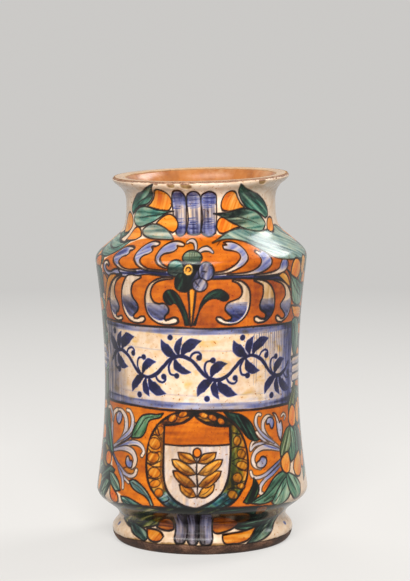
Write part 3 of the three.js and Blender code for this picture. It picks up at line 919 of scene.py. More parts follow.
def wreath():
    """A wreath around the shield: fruits bound into a bundle of leaves by crossing ribbons"""
    ring = reserved(loop((-5, 95), (5, 94.3), (13.5, 91.3), (20.5, 86.5), (25.6, 80.5), (28.8, 73),
                         (30.2, 65), (29.8, 56), (28, 49), (24, 42), (19, 36.5), (12, 33), (4, 31),
                         (-6, 30.3), (-16, 31), (-23, 34.3), (-30, 40.5), (-34.8, 47), (-37, 54.5),
                         (-37.7, 63), (-36.7, 72), (-33.5, 80), (-28, 87), (-20, 92), (-13, 94.4)))
    low, west, east = ring.up(46, 41), ring.right(-6, -12), ring.right(6, 12)
    top = (1 - west) * (1 - east) + ring.up(83, 87) * 0.8
    ring.wash("yellow", 0.7, 60, 0.4, west * (1 - low)).wash("ochre", 0.55, 60, 0.6, west * (1 - low))
    ring.wash("yellow", 0.4, 60, 0.4, east * (1 - low)).wash("ochre", 0.85, 60, 0.6, east * (1 - low))
    ring.wash("green", 0.5, 90, 0.5, east * (1 - low) * (1 - ring.between((24, 60), (28, 60))))
    ring.wash("dark", 0.3, 90, 0.8, east * (1 - low) * (1 - ring.between((22, 60), (27, 60))))
    ring.wash("ochre", 0.9, 0, 0.6, top * ring.up(80, 86)).wash("dark", 0.22, 0, 0.9, top * ring.up(82, 87))
    ring.wash("yellow", 0.4, 0, 0.6, top * ring.up(80, 86)).wash("green", 0.2, 0, 0.9, top * ring.up(82, 87))
    ring.wash("green", 0.6, 30, 0.7, low).wash("blue", 0.3, 150, 0.9, low).wash("dark", 0.22, 60, 1.0, low)
    ring.wash("dark", 0.3, 90, 0.9, ring.up(36, 32))
    ring.hatch("dark", 0.8, 30, 3.4, low).rim(1.4, 1.0)
    brush([(-23.8, 86), (-26, 80), (-26.4, 70), (-26.4, 60), (-26, 52), (-23.6, 44)], 2.6, 0.45, "dark",
          (1, 1))
    for x, z, half_width, half_height, lean in (
            (-28.6, 81.4, 2.6, 3.4, 40), (-32, 73, 4.4, 3.8, 10), (-32.8, 64.2, 4.4, 3.6, -10),
            (-31.4, 54.4, 4.4, 3.4, 0), (-30.6, 47.6, 3.8, 2.4, -20), (-27.6, 42, 3, 2.8, 0),
            (-19.6, 89.8, 3.4, 2.3, -30), (-12.6, 92.6, 3.2, 1.9, -20), (1, 92.2, 3.4, 1.8, 15),
            (7, 90.4, 3.2, 2.0, 30), (12.6, 88, 2.8, 2.0, 40), (23.2, 75, 2.6, 3.2, 0),
            (25.8, 66.4, 3.2, 2.8, 60), (26, 59, 4, 2.9, 20), (22.4, 51.6, 3.2, 3.2, 0),
            (24.6, 46.4, 2.8, 2.2, 30), (18.8, 41.2, 3.4, 2.8, 30)):
        bead = reserved(oval(x, z, half_width, half_height, lean, 20))
        bead.wash("yellow", 0.7 if x < 15 else 0.5, 60, 0.4).wash("ochre", 0.8 if x < 15 else 0.95, 60, 0.6)
        bead.wash("green", 0 if x < 15 else 0.12, 60, 0.6)
        bead.wash("ochre", 0.4, 0, 0.6, bead.up(z, z - half_height)).hatch("ochre", 1.1, 60).rim(0.65, 0.8)
    for coil in (((-37, 69.6), (-33, 67), (-28, 68), (-25.6, 66)),
                 ((-37.4, 60.4), (-33, 59.6), (-29, 61.4), (-26, 63)), ((-37, 60), (-32, 58.2), (-26, 58.6)),
                 ((-36, 51), (-31, 50.4), (-26, 51.6)), ((-31, 85), (-28, 77.4), (-25.8, 76)),
                 ((-34.6, 77.6), (-31, 78.4), (-26, 74)), ((19.4, 62.4), (24, 64), (29.8, 62)),
                 ((19.4, 61), (24, 57.4), (29.6, 55)), ((19, 70.4), (23, 71.4), (29.4, 70)),
                 ((18.6, 49), (21, 47.6), (27.6, 49.4)), ((15.6, 44.6), (20, 45.4), (26.4, 44)),
                 ((20.4, 80.4), (24, 79.4), (27, 79.4))):
        brush(coil, 0.8, 0.95, ends=(0.9, 0.6))
    for curl in (((-28, 38), (-24, 36.4), (-20.6, 38.4), (-22, 40.4)),
                 ((-21.4, 36.6), (-17, 33.6), (-14.6, 36)), ((12, 36.6), (15, 34.6), (18.6, 37.4)),
                 ((-12, 33.4), (-8, 32.6), (-4, 31.6))):
        brush(curl, 0.9, 0.95)


def shield():
    """A plain made-up shield: an orange chief over a pale field with a leafy sprig"""
    field = drawn([(-25.2, 85), (-19, 85.8), (-12.5, 87.3), (-8, 90), (-5, 92.6)],
                  [(-2.4, 90), (3, 87), (10, 85.3), (18.6, 84.8)],
                  [(18.8, 74), (18, 62), (16.4, 52), (12.6, 43.6), (7, 38), (0.5, 34.4), (-4, 32.6)],
                  [(-11, 34.4), (-17, 38), (-21.6, 43), (-24.2, 49), (-25.2, 56), (-25.5, 70)])
    field.wash("ochre", 0.06, 60, 0.8).wash("blue", 0.12, 90, 0.8, field.up(73, 72))
    field.wash("dark", 0.05, 60, 0.6).wash("orange", 1.05, 0, 0.2, field.up(72.6, 73.4))
    brush([(-25.2, 73), (-14, 72.6), (-3, 73), (8, 72.7), (18.4, 73)], 1.2, 0.95, ends=(1, 1))
    brush([(-3.4, 39.5), (-3, 48), (-3.6, 57), (-3.2, 66)], 1.3, 0.95)
    for height, reach_out, droop in ((40.6, 11, 6.4), (47, 15.4, 8.4), (54.6, 16.4, 8), (62, 12.4, 5.4)):
        for side in (-1, 1):
            def at(*points):
                return [(-3.3 + side * across, height + up) for across, up in points]
            blade = Shape(outline(at((0.4, 0), (reach_out * 0.3, 5), (reach_out * 0.72, droop + 0.8),
                                     (reach_out, droop + 1)),
                                  at((reach_out * 0.88, droop - 3.4), (reach_out * 0.45, -0.6))))
            blade.reserve().wash("ochre", 0.65, 30 if side > 0 else 150, 0.8).wash("yellow", 0.55, 0)
            blade.wash("dark", 0.35, 60, 0.8, blade.up(height + droop, height)).rim(0.9, 0.9)
            brush(at((1, 0.6), (reach_out * 0.5, 2.3), (reach_out * 0.85, droop - 0.2)), 0.5, 0.8)
    bud = reserved(oval(-3.2, 68.2, 2.6, 3, 0, 18))
    bud.wash("orange", 0.6).wash("ochre", 0.4).rim(0.9, 0.95)
    field.rim(1.6, 0.97)


def feather(body, deep, fade, streak=60):
    """A white curling plume of the side sprays, brushed with blue towards its root"""
    plume = drawn(*body)
    plume.wash("blue", deep, streak, 0.4, plume.between(*fade), 0.5).rim(1.0, 0.85)


def hooked(points, width, root=0.45):
    """A white brushed hook with dark edges, blue towards its root"""
    brush(points, width + 1.6, 0.85, "dark", (0.5, 0.85), over=True)
    brush(points, width, 0.0, "dark", (0.4, 0.85), over=True)
    patch = Patch(smooth(points), width, False)
    half = width / 2 * np.interp(patch.along, (0, 0.35, 1), (0.4, 0.9, 0.5))
    mark = root * (1 - patch.along) ** 0.8 * (1 - step_up(patch.distance, half - 0.4, half + 0.3))
    blend_in("blue", patch.where, mark)


def left_spray():
    """The spray of white plumes to the left of the wreath"""
    feather([[(-71, 65.5), (-63, 69.4), (-55, 73), (-49.5, 78), (-45.4, 84.6)],
             [(-50.6, 84.8)], [(-53.4, 80.6), (-58, 76.4), (-64, 71.4)]], 0.75, ((-46, 84), (-56, 74)))
    hooked([(-71, 66.5), (-64, 70.3), (-59, 75), (-56.6, 81), (-57.6, 87.2), (-61.6, 90.6), (-66.6, 90.6)],
           2.9)
    hooked([(-71.6, 67), (-73.6, 74), (-74, 82), (-72, 88), (-68, 90.8)], 2.5, 0.6)
    eye = reserved(loop((-61.6, 88.6), (-61.9, 85), (-64.5, 82), (-67.6, 83.2), (-68.6, 86.3), (-67, 89.4),
                        (-64, 90.2)))
    eye.wash("blue", 0.55, 60, 0.6, eye.between((-68, 90), (-64, 86))).rim(1.0, 0.85)
    brush([(-66.8, 90.4), (-64.4, 88.4), (-62.4, 89)], 1.0, 0.85, "blue")
    hooked([(-66, 70), (-56.6, 75.6), (-51.8, 80), (-50.4, 85), (-51.2, 89), (-53.4, 91.8), (-56, 92)], 2.2,
           0.7)
    hooked([(-70, 65), (-60, 68.5), (-53, 71.2), (-46.6, 72), (-42, 70.3), (-40, 67), (-41.4, 64.4)], 2.3,
           0.9)
    ochre_fold = drawn([(-57.5, 54.4), (-53, 52.4), (-48.4, 52), (-46, 54)], [(-49, 55.2), (-53, 55.6)])
    ochre_fold.wash("ochre", 0.75).wash("yellow", 0.5).rim(0.8, 0.7)
    hooked([(-70.6, 64), (-63, 66.2), (-55.6, 67.2), (-49.8, 65.8), (-47, 62), (-47.2, 58.4), (-49.6, 56.2)],
           2.8)
    eye = reserved(loop((-49.4, 60.2), (-51.2, 60), (-53, 62.6), (-54.8, 61.6), (-55.2, 58.2), (-52.8, 55.5),
                        (-49.4, 56)))
    eye.wash("blue", 0.5, 60, 0.5, eye.between((-54, 63), (-52, 59))).rim(1.0, 0.85)
    hooked([(-69.6, 61.6), (-62.6, 55.6), (-56, 51.6), (-50.4, 50.2), (-46.4, 51.6), (-45.2, 54.6)], 2.1, 0.9)
    hooked([(-62, 54), (-58, 50), (-54, 47.6), (-51, 46)], 1.5, 0.8)
    hooked([(-63, 54.6), (-58, 49.4), (-56.3, 45.6), (-55.8, 41.8)], 1.8, 0.9)
    brush([(-71.4, 66), (-69, 60.5), (-64.6, 55.6)], 2.4, 0.9, "blue", (1, 0.3))
    for points in ([(-69, 66), (-60, 70.6), (-52, 75.6)], [(-68, 65.4), (-58, 69.4), (-50, 73.6)],
                   [(-67, 60.5), (-61, 55), (-56, 52.2)]):
        brush(points, 0.8, 0.8, "blue")


def right_spray():
    """The spray of white plumes to the right of the wreath"""
    feather([[(58, 66), (50, 69.2), (43, 72.6), (38.4, 76.4), (36, 80)],
             [(40, 80.4), (45, 76.8), (51, 72.6)]], 0.65, ((36, 80), (50, 70)), 120)
    hooked([(57, 67), (50, 71.6), (45, 76.4), (42.9, 81.4), (43.6, 86), (47, 88.2), (51, 87)], 2.6)
    eye = reserved(loop((46, 83.8), (47, 87.2), (50.6, 87.6), (53, 84.6), (51.8, 80.6), (49.8, 80.8),
                        (48.6, 83.4)))
    eye.wash("blue", 0.62, 60, 0.6, eye.between((46, 88), (50, 85))).rim(1.0, 0.85)
    hooked([(52, 71), (44, 76), (39.6, 80.6), (37.4, 85), (37.8, 89.2), (39.6, 90.8), (41.2, 90.2)], 1.8, 0.7)
    feather([[(52, 90), (54.4, 89.6), (57, 86.4), (58.6, 83)],
             [(60.6, 84), (61.6, 79), (60.4, 74), (58.8, 71.4)],
             [(56.8, 74.6), (55.6, 80), (55.4, 84.4), (54, 87.6)]], 0.38, ((54, 90), (57, 80)), 90)
    hooked([(64, 84), (65.6, 86.6), (63.4, 88.2), (61, 87)], 1.3, 0.3)
    hooked([(57, 66.4), (48, 69.4), (41, 71.8), (35.6, 71), (32.6, 68.4), (33.8, 72.6), (38, 74.6)], 1.4, 0.7)
    hooked([(57.6, 65.4), (48, 68.6), (41.4, 69.2), (36, 66.6), (33.9, 62.4), (35, 58.4), (39, 56.4)], 2.5)
    eye = reserved(loop((37, 60.2), (38.6, 61), (40.6, 63.3), (43.8, 62.6), (44.6, 59.4), (42, 56.6),
                        (38.4, 56.4), (36.4, 58)))
    eye.wash("blue", 0.42, 60, 0.5, eye.between((36, 58), (41, 60))).wash("dark", 0.12).rim(1.0, 0.85)
    hooked([(58, 59.6), (50, 55.4), (43, 51.8), (37, 50.4), (33, 51.6), (31.8, 54.6)], 1.8, 0.9)
    hooked([(56, 55.6), (48, 51.4), (42, 48.4), (38.2, 44.6), (37.6, 40.8), (39.4, 39.8)], 2.0, 0.9)
    brush([(41, 43.4), (44, 45.6), (48, 47.6)], 2.2, 0.6, "ochre")
    for points in ([(57, 66), (50, 68.2), (42, 71)], [(58, 60), (51, 57), (44, 54)],
                   [(56, 57), (49, 53.6), (43, 50)]):
        brush(points, 1.0, 0.85, "blue")


def panel_leaves():
    """Green leaves around the wreath"""
    leaf(outline([(-51, 74.6), (-50, 79.6), (-46.5, 85), (-42.6, 89.6), (-37, 91.4), (-31, 91.6),
                  (-26.2, 92.6)],
                 [(-28.6, 89.8), (-33, 88.6), (-36.6, 87), (-38.2, 83.6), (-39.6, 79.6), (-43, 76)]), 0.5,
         0.15, 0.1, 60, [[(-49, 76.6), (-43.6, 83), (-39, 88.6), (-30, 90.6)]],
         shade=((-44, 86), (-38, 78))).wash("yellow", 0.2, 60, 0.8)
    leaf(outline([(-50.6, 47.2), (-46.6, 48.4), (-41.6, 46.4), (-37, 43), (-33.4, 38.6), (-31, 34)],
                 [(-32.4, 32.8), (-34.4, 36.6), (-38, 39.4), (-43, 41), (-47.6, 43.4)]),
         0.36, 0.45, 0.05, 150, [[(-48, 46.6), (-41, 43.6), (-34, 38)]])
    leaf(outline([(14.6, 94), (20, 93), (27, 91), (32, 87.4), (35.6, 82), (37.2, 77), (39.4, 74.4)],
                 [(36, 74), (31, 76.6), (26.6, 81.6), (22, 86.6), (17.4, 90.4)]),
         0.85, 0.1, 0.6, 120, [[(16, 92.6), (25, 88), (32, 80), (38, 75)]])
    leaf(outline([(25.6, 36), (30, 42), (33, 47), (33.6, 50.6)],
                 [(36, 47), (36.8, 43), (34, 38), (29, 34.8)]), 0.75, 0.0, 0.45,
         60).wash("ochre", 0.4, 60, 0.8)
    leaf(outline([(29.6, 35), (35, 37.6), (40.6, 40), (45, 44.4), (50, 49), (57, 51.6), (63, 51)],
                 [(60, 44), (54, 38), (46, 34.6), (38, 33.4)]), 0.55, 0.0, 0.2, 30,
         [[(33, 35.4), (43, 39), (52, 45), (60, 50.4)], [(40, 35), (48, 38), (56, 43)]])
    leaf(outline([(46, 33.6), (51, 40), (58, 46), (65, 49)], [(66, 42), (62, 35), (56, 31), (50, 30.6)]),
         0.5, 0.1, 0.1, 60, [[(49, 34), (56, 40), (63, 46)]])
    leaf(outline([(-57, 36.4), (-51, 36.6), (-45, 35), (-39, 32.6), (-32.6, 29.6)],
                 [(-38, 27.4), (-46, 27.6), (-53, 30)]), 0.6, 0.4, 0.3, 150,
         [[(-54, 34.6), (-46, 32), (-38, 29.6)]])


def foot():
    """Leaves, fruit and three tablets in the hollow under the belly, all brushed darker there as painted
    shade
    """
    # The hollow is brushed green, ochre and dark all along, darkest to the left: leaves and painted shade
    hollow = drawn([(-92, 27), (-60, 31), (-30, 32.4), (0, 32.8), (30, 32.4), (56, 31), (86, 27.4)],
                   [(74, 20.4), (50, 17.6), (20, 21), (-20, 21), (-50, 16.4), (-76, 18)])
    hollow.wash("green", 0.8, 30, 0.6).wash("ochre", 0.6, 150, 0.8)
    hollow.wash("dark", 0.75, 30, 0.6, hollow.right(-60, -30)).hatch("dark", 1.1, 30)
    # Olive leaf bundles in the hollow, with dark brushed in as painted shade
    olive = ("green", 0.62), ("ochre", 0.8), ("dark", 0.2)
    for body, vein in (
            (outline([(-90, 19.4), (-80, 25), (-66, 29.4), (-48, 31.4), (-28, 31.6)],
                     [(-24, 27.6), (-40, 24.6), (-56, 21.4), (-72, 18.8)]),
             [(-84, 20.4), (-64, 24), (-34, 28.8)]),
            (outline([(-80, 16.6), (-68, 20.6), (-54, 23), (-40, 26), (-28, 27)],
                     [(-30, 21), (-40, 16.8), (-54, 14.2), (-66, 13.6)]),
             [(-72, 16.8), (-52, 18.4), (-34, 23.4)])):
        bundle = reserved(body)
        for pigment, strength in olive:
            bundle.wash(pigment, strength, 30, 0.7)
        bundle.hatch("dark", 0.9, 30, 1.8).hatch("ochre", 1.2, 30, 3.1).rim(1.1, 0.95)
        brush(vein, 0.7, 0.9)
    leaf(outline([(-36, 27), (-28, 29.6), (-18, 30.6)], [(-18, 25.4), (-26, 23.6)]), 1.0, 0.2, 0.8, 0)
    leaf(outline([(-71, 16.4), (-60, 16.2), (-51, 14.4), (-45, 12.4), (-42.6, 9)],
                 [(-46, 7), (-52, 8.6), (-60, 11.4)]), 0.5, 0.5, 0.3, 150,
         [[(-66, 15), (-56, 12.6), (-45, 9)]])
    # Fruits in the hollow, dulled with ochre and dark as painted shade
    for body, ripe, shade in (
            (outline([(-37.4, 16.4), (-34, 20.4), (-29, 23.4), (-24, 23.8), (-22, 20.4), (-22.6, 16)],
                     [(-26, 14.8), (-32, 15)]), 1.15, ((-30, 14), (-30, 22))),
            (outline([(29, 19.4), (24, 23), (16, 25.8), (9, 25.6), (5.2, 21.6), (6.6, 16.6)],
                     [(10, 13.8), (16, 14.2), (24, 16.2)]), 1.2, ((14, 14), (14, 24)))):
        fruit(body, ripe, 0, shade).wash("ochre", 0.3, 0, 0.6).wash("dark", 0.2, 0, 0.8)
    fruit(outline([(-46.6, 14.6), (-42, 14.8), (-37, 14.6), (-32.6, 13.4), (-29.6, 11.2)],
                  [(-31.6, 8.6), (-35.6, 7.4), (-40, 8.2), (-43.6, 11)]), 0.22, 60,
          ((-34, 14), (-36, 9))).wash("ochre", 0.5, 60, 0.8).wash("dark", 0.06, 60, 0.8)
    # A broad leaf darkened all over, as painted shade in the hollow
    leaf(outline([(8, 31), (20, 32), (34, 31.6), (52, 29), (72, 20.6)],
                 [(54, 15.4), (38, 14.4), (26, 16.2), (28, 20), (20, 25)]), 1.0, 0.15, 1.0, 0,
         [[(14, 30), (30, 27.4), (46, 22), (58, 19.4)], [(30, 17), (40, 18), (52, 18.4)]])
    leaf(outline([(50, 29), (62, 29.6), (76, 27), (86, 22)], [(74, 19.4), (62, 20.4)]), 0.45, 0.1, 0.5, 150,
         [[(54, 28), (68, 24.6), (82, 22)]]).wash("ochre", 0.5, 150, 0.8)
    # A fruit in the hollow, darkened as painted shade
    fruit(loop((35.6, 31.4), (36, 27.6), (39, 25), (43, 24.8), (44.6, 28), (43, 31.6)), 1.3,
          60).wash("dark", 0.4)
    fruit(outline([(15.2, 12.8), (22, 13.4), (32, 14), (46, 15.8)],
                  [(38, 11), (31, 8), (23, 7), (16.6, 7.4), (14.6, 10)]), 0.24, 0,
          ((30, 12), (16, 10))).wash("ochre", 0.45, 0, 0.8).wash("dark", 0.05, 0, 0.8)
    leaf(outline([(74, 19.4), (60, 18.8), (48, 15.8), (39, 11), (33, 6.8)], [(44, 7.2), (58, 11.4)]),
         0.6, 0.4, 0.45, 30, [[(36, 8), (47, 12), (66, 17.4)], [(50, 14.6), (60, 17)]])
    for left, right in ((-21, -11.8), (-11.6, -2.8), (-2.6, 7.4)):
        middle = (left + right) / 2
        tablet = drawn([(left + 1, 29), (left, 20), (left, 11)],
                       [(left + 1.6, 7.6), (middle, 6.4), (right - 1.6, 7.6), (right, 11)],
                       [(right, 20), (right - 0.6, 29)], [])
        tablet.wash("blue", 0.62, 90, 0.35).wash("ochre", 0.22, 90, 0.8)
        # The tablets grow darker towards their tops, under the belly: painted shade
        tablet.wash("blue", 0.2, 90, 0.5, tablet.up(12, 26)).wash("dark", 0.2, 90, 0.5, tablet.up(16, 28))
        tablet.wash("dark", 0.12, 90, 0.8)
        tablet.hatch("blue", 1.05, 90, 2.2).rim(1.3, 1.0)
        brush([(middle + 1.2, 22), (middle + 1, 14), (middle + 1, 9)], 1.2, 0.7, "blue")
    for x in (-84.6, 82):
        Shape(oval(x, 12.6, 2.2, 1.0, 0, 14)).wash("blue", 0.8)
    # A dark line along the belly's lower turn: a painted shadow line under the belly
    brush([(-84, 26.4), (-60, 31), (-40, 32.4), (-20, 33), (0, 33), (20, 33), (40, 32), (60, 29.4)], 1.3,
          0.85)


def garland_leaf(x, z, length, width, turn, tones, streak):
    """One leaf of a garland, growing from a point at an angle in degrees"""
    def at(*points):
        return placed([(length * along, width * across) for along, across in points], x, z, turn)

    body = outline(at((0, 0), (0.22, 0.46), (0.6, 0.44), (1, 0.04)), at((0.62, -0.4), (0.24, -0.5)))
    vein = at((0.03, 0), (0.4, 0.05), (0.86, 0.03))
    leaf(body, *tones, streak, [vein], shade=at((0.2, 0.4), (0.2, -0.4)))


# One bundle of a garland: leaves by angle, length and way of the brush, and fruits by place and half size
GARLAND_LEAVES = ((158, 27, 150), (22, 27, 30), (204, 28, 30), (-24, 28, 150), (236, 25, 60), (-56, 25, 120),
                  (270, 22, 90))
GARLAND_FRUITS = ((-12, -5.5, 5.6, 6.2), (12, -4, 5.8, 6.0), (0, 3.2, 6.0, 5.4))


def garland(side):
    """The garland of leaves and fruit that hangs down one side of the jar"""
    middle = side * (0.5 * math.pi * SHEET_RADIUS - 1.5)
    chance = np.random.default_rng(60 + side)
    low, high, half = 50 if side > 0 else 37, 201, 21
    edge = [(-half, height) for height in range(low, high, 12)]
    edge += [(half, height) for height in range(high, low, -12)]
    edge = [(middle + across + chance.uniform(-2.5, 2.5), height) for across, height in edge]
    bed = reserved(loop(*edge))
    bed.wash("ochre", 0.55, 90, 0.8).wash("green", 0.5, 120, 0.8).wash("dark", 0.35, 90, 1.0)
    for height in range(high - 5, low, -17):
        for turn, reach_out, streak in GARLAND_LEAVES:
            tones = chance.uniform(0.42, 0.85), chance.uniform(0.0, 0.4), chance.uniform(0.05, 0.5)
            root = middle + 4 * math.cos(math.radians(turn)), height + chance.uniform(-2, 2)
            size = reach_out * chance.uniform(0.88, 1.04), chance.uniform(9, 12)
            garland_leaf(*root, *size, turn + chance.uniform(-7, 7), tones, streak)
        for across, up, half_width, half_height in GARLAND_FRUITS:
            x, z = middle + across + chance.uniform(-1.5, 1.5), height + up + chance.uniform(-1.5, 1.5)
            body = oval(x, z, half_width, half_height, chance.uniform(-25, 25), 22)
            fruit(body, chance.uniform(0.2, 0.9), 60, ((x - 1, z + 4), (x + 2, z - 4)))


def left_details():
    """What overlaps between the left garland and the panels"""
    wedge = drawn([(-84, 149), (-80, 156), (-75.6, 162.6), (-71.4, 169.6), (-66, 175.6), (-58.6, 180.4)],
                  [(-64, 180.6), (-70, 178), (-76, 170), (-80, 160)])
    wedge.wash("ochre", 0.65, 60, 0.6).wash("yellow", 0.5, 60).rim(0.9, 0.95)
    leaf(outline([(-82, 150), (-84.6, 142), (-84, 134), (-83, 130)], [(-91, 133), (-92, 142), (-88, 149)]),
         0.7, 0.3, 0.5, 90, [[(-84, 148), (-87, 140), (-87, 133)]])
    leaf(outline([(-83.6, 114), (-83, 106), (-84, 98)], [(-91, 99), (-92, 108), (-88, 114)]),
         0.7, 0.1, 0.6, 90, [[(-85, 112), (-87.4, 106), (-87, 100)]])
    leaf(outline([(-84, 93.6), (-79.6, 88), (-76.6, 79), (-73.6, 71), (-70.4, 63.4)],
                 [(-75, 57), (-81.6, 64), (-85.6, 74), (-87.6, 86)]), 0.75, 0.0, 0.5, 120,
         [[(-83, 90), (-80, 78), (-74, 64)], [(-84, 82), (-81, 70), (-77, 61)]], shade=((-76, 78), (-86, 76)))
    hooked([(-73.4, 83), (-75, 88), (-78.6, 91.2), (-82, 90.4)], 2.2, 0.5)
    leaf(outline([(-71, 61), (-76, 64.6), (-83, 66.4), (-90, 65)], [(-91, 58), (-84, 52), (-76, 53)]),
         0.28, 0.0, 0.25, 150, [[(-73, 60.6), (-81, 59.6), (-89, 61)]]).wash("ochre", 0.95, 150, 0.8)
    fruit(loop((-71.8, 57.6), (-73, 61.4), (-77, 63), (-80.6, 61), (-81, 56.6), (-77.6, 53.8), (-73.6, 54.2)),
          0.5, 60, ((-73, 58), (-80, 60))).wash("yellow", 0.4, 60)
    leaf(outline([(-66, 52), (-72, 53.6), (-80, 51), (-86, 45)], [(-85, 38), (-78, 38), (-70, 43)]),
         0.55, 0.3, 0.35, 30, [[(-68, 50.6), (-75, 46.6), (-83, 41.6)]])
    leaf(outline([(-73, 50), (-67, 49.6), (-61, 45.6), (-58, 40)], [(-64, 39), (-70, 43.6)]),
         0.5, 0.35, 0.2, 150, [[(-71, 48.6), (-65, 45), (-60, 41.4)]])
    leaf(outline([(-70, 44), (-73, 37), (-79, 31.6), (-86, 30)], [(-88, 35), (-84, 41), (-77, 45)]), 0.6,
         0.3, 0.5, 60, [[(-72, 43), (-78, 37.6), (-85, 33.6)]])
    fruit(outline([(-70.4, 43), (-66, 40.4), (-60.6, 36.6), (-59.6, 33.4), (-62.6, 31), (-66.4, 31.4),
                   (-69, 36)], []), 0.3, 60, ((-64, 40), (-66, 32))).wash("yellow", 0.5, 60)


def right_details():
    """What overlaps between the right garland and the panels"""
    wedge = drawn([(53, 178.6), (57.6, 180.2), (62, 177.6), (65.6, 173), (67.4, 169.4)],
                  [(63.6, 171.4), (59, 174.6)])
    wedge.wash("ochre", 0.45, 150, 0.6).wash("yellow", 0.35).rim(0.9, 0.95)
    leaf(outline([(73.4, 147.6), (78, 149), (84, 147), (88.6, 141)],
                 [(88, 131), (83, 124), (78, 126), (75, 134)]), 0.45, 0.3, 0.12, 90,
         [[(76, 145), (80.6, 138), (82.6, 128)]], shade=((86, 140), (76, 136)))
    leaf(outline([(81.6, 106), (83, 99), (80.6, 92), (75, 86)], [(70.6, 86.6), (70.4, 92), (74, 98)]),
         0.35, 0.0, 0.2, 60, [[(80.6, 104), (76.6, 96), (73, 88.6)]]).wash("yellow", 0.35, 60, 0.8)
    fruit(oval(86.4, 86, 4.6, 7.4, 0, 22), 0.3, 90)
    leaf(outline([(77, 79), (83, 77.4), (90, 73)], [(93, 64), (87, 57.6), (80, 58), (76.6, 66)]), 0.5, 0.1,
         0.5, 90, [[(79, 77), (84, 70), (86.6, 61)]], shade=((80, 70), (90, 68)))
    leaf(outline([(70.6, 80), (66.6, 73), (66, 65), (69, 56)], [(75.6, 59), (79, 67), (77, 75.6)]), 0.55,
         0.0, 0.15, 90, [[(71.6, 77.6), (72.6, 69), (71, 59.6)], [(74, 75), (75.6, 68), (74, 62)]],
         shade=((76, 68), (67, 66)))
    leaf(outline([(57.6, 61), (58, 67), (61.6, 73), (66, 78), (71, 79.4)],
                 [(72, 73), (70, 66.6), (64.6, 62)]), 0.4, 0.0, 0.2, 60,
         [[(60, 62.6), (64, 69), (70, 77)]]).wash("yellow", 0.25, 60, 0.8)
    fruit(loop((69.6, 84), (71.6, 89.4), (75.6, 92.4), (80, 90.4), (82.4, 85), (80.6, 79.6), (76, 77.8),
               (71.4, 79.8)), 0.3, 60, ((72, 90), (80, 80))).wash("yellow", 0.2, 60)
    leaf(outline([(61.6, 51), (67.6, 48.6), (74, 45), (78.4, 40)],
                 [(76, 33.4), (69.6, 32), (64.6, 36), (62, 43)]), 0.5, 0.0, 0.12, 120,
         [[(63, 49), (67.6, 43), (72, 35)], [(70, 46), (74, 40)]], shade=((76, 42), (64, 38)))
    fruit(loop((58, 53), (57.4, 58.6), (61, 62), (66, 63), (67.6, 57), (66, 51), (62, 49.8)), 0.22, 60,
          ((66, 62), (60, 54)))
    fruit(outline([(71, 52), (73.6, 56.6), (78, 59.4), (83.4, 62)],
                  [(85.4, 56), (84.4, 49.4), (79.4, 45.4), (73.4, 46.6)]), 0.15, 60, ((82, 58), (76, 48)))


def shoulder_leaves():
    """The garlands' top leaves, which reach forward over the shoulder"""
    leaf(outline([(-62, 201.4), (-70, 199.6), (-80, 200.8), (-90, 203.4), (-99, 203)],
                 [(-98, 197), (-90, 192.6), (-81, 190.6), (-74, 191.2), (-66, 195.6)]), 0.45, 0.3, 0.12, 0,
         [[(-64, 200.6), (-74, 196), (-85, 196.6), (-96, 199)]], shade=((-80, 202), (-82, 191)))
    fruit(loop((-79.6, 186), (-81, 189.6), (-85.6, 191), (-90.4, 189), (-92, 185), (-88, 182), (-83, 182)),
          0.7, 0, ((-82, 186), (-90, 186)))
    leaf(outline([(-79.4, 181.6), (-84, 183.6), (-91, 182), (-97, 176)],
                 [(-99, 166), (-92, 163), (-85, 165.6), (-80.6, 172)]), 0.75, 0.5, 0.7, 120,
         [[(-80.6, 180), (-86, 174), (-93, 168)]], shade=((-82, 180), (-94, 170)))
    fruit(loop((-72.4, 163), (-70.6, 170), (-73, 177), (-77.4, 179.6), (-79.6, 172), (-78.6, 165)), 1.2, 90)
    fruit(loop((66.4, 178), (66.8, 184), (70, 187.4), (75, 187), (79.2, 183), (79.6, 178), (76, 174.6),
               (70.6, 174.4)), 0.6, 60, ((68, 186), (76, 176)))
    fruit(loop((80.6, 180), (81.4, 186.6), (85, 188.4), (88.6, 186), (88.4, 179), (84.6, 175.6)), 0.1, 60)
    leaf(outline([(61.6, 181.4), (68, 177), (75, 174), (82, 171), (90, 168.6)],
                 [(91, 160), (85, 156.6), (78, 157), (72, 160.4), (69, 168), (66, 176)]), 0.5, 0.2, 0.15,
         120, [[(64, 180), (71, 171.6), (79, 165), (88, 161)], [(74, 173), (80, 168), (88, 164)]],
         shade=((84, 172), (72, 162)))
    fruit(outline([(70.6, 157.6), (76, 156.6), (84, 155.6), (91, 154)], [(90, 148), (82, 147.6), (76, 150)]),
          0.3, 0)


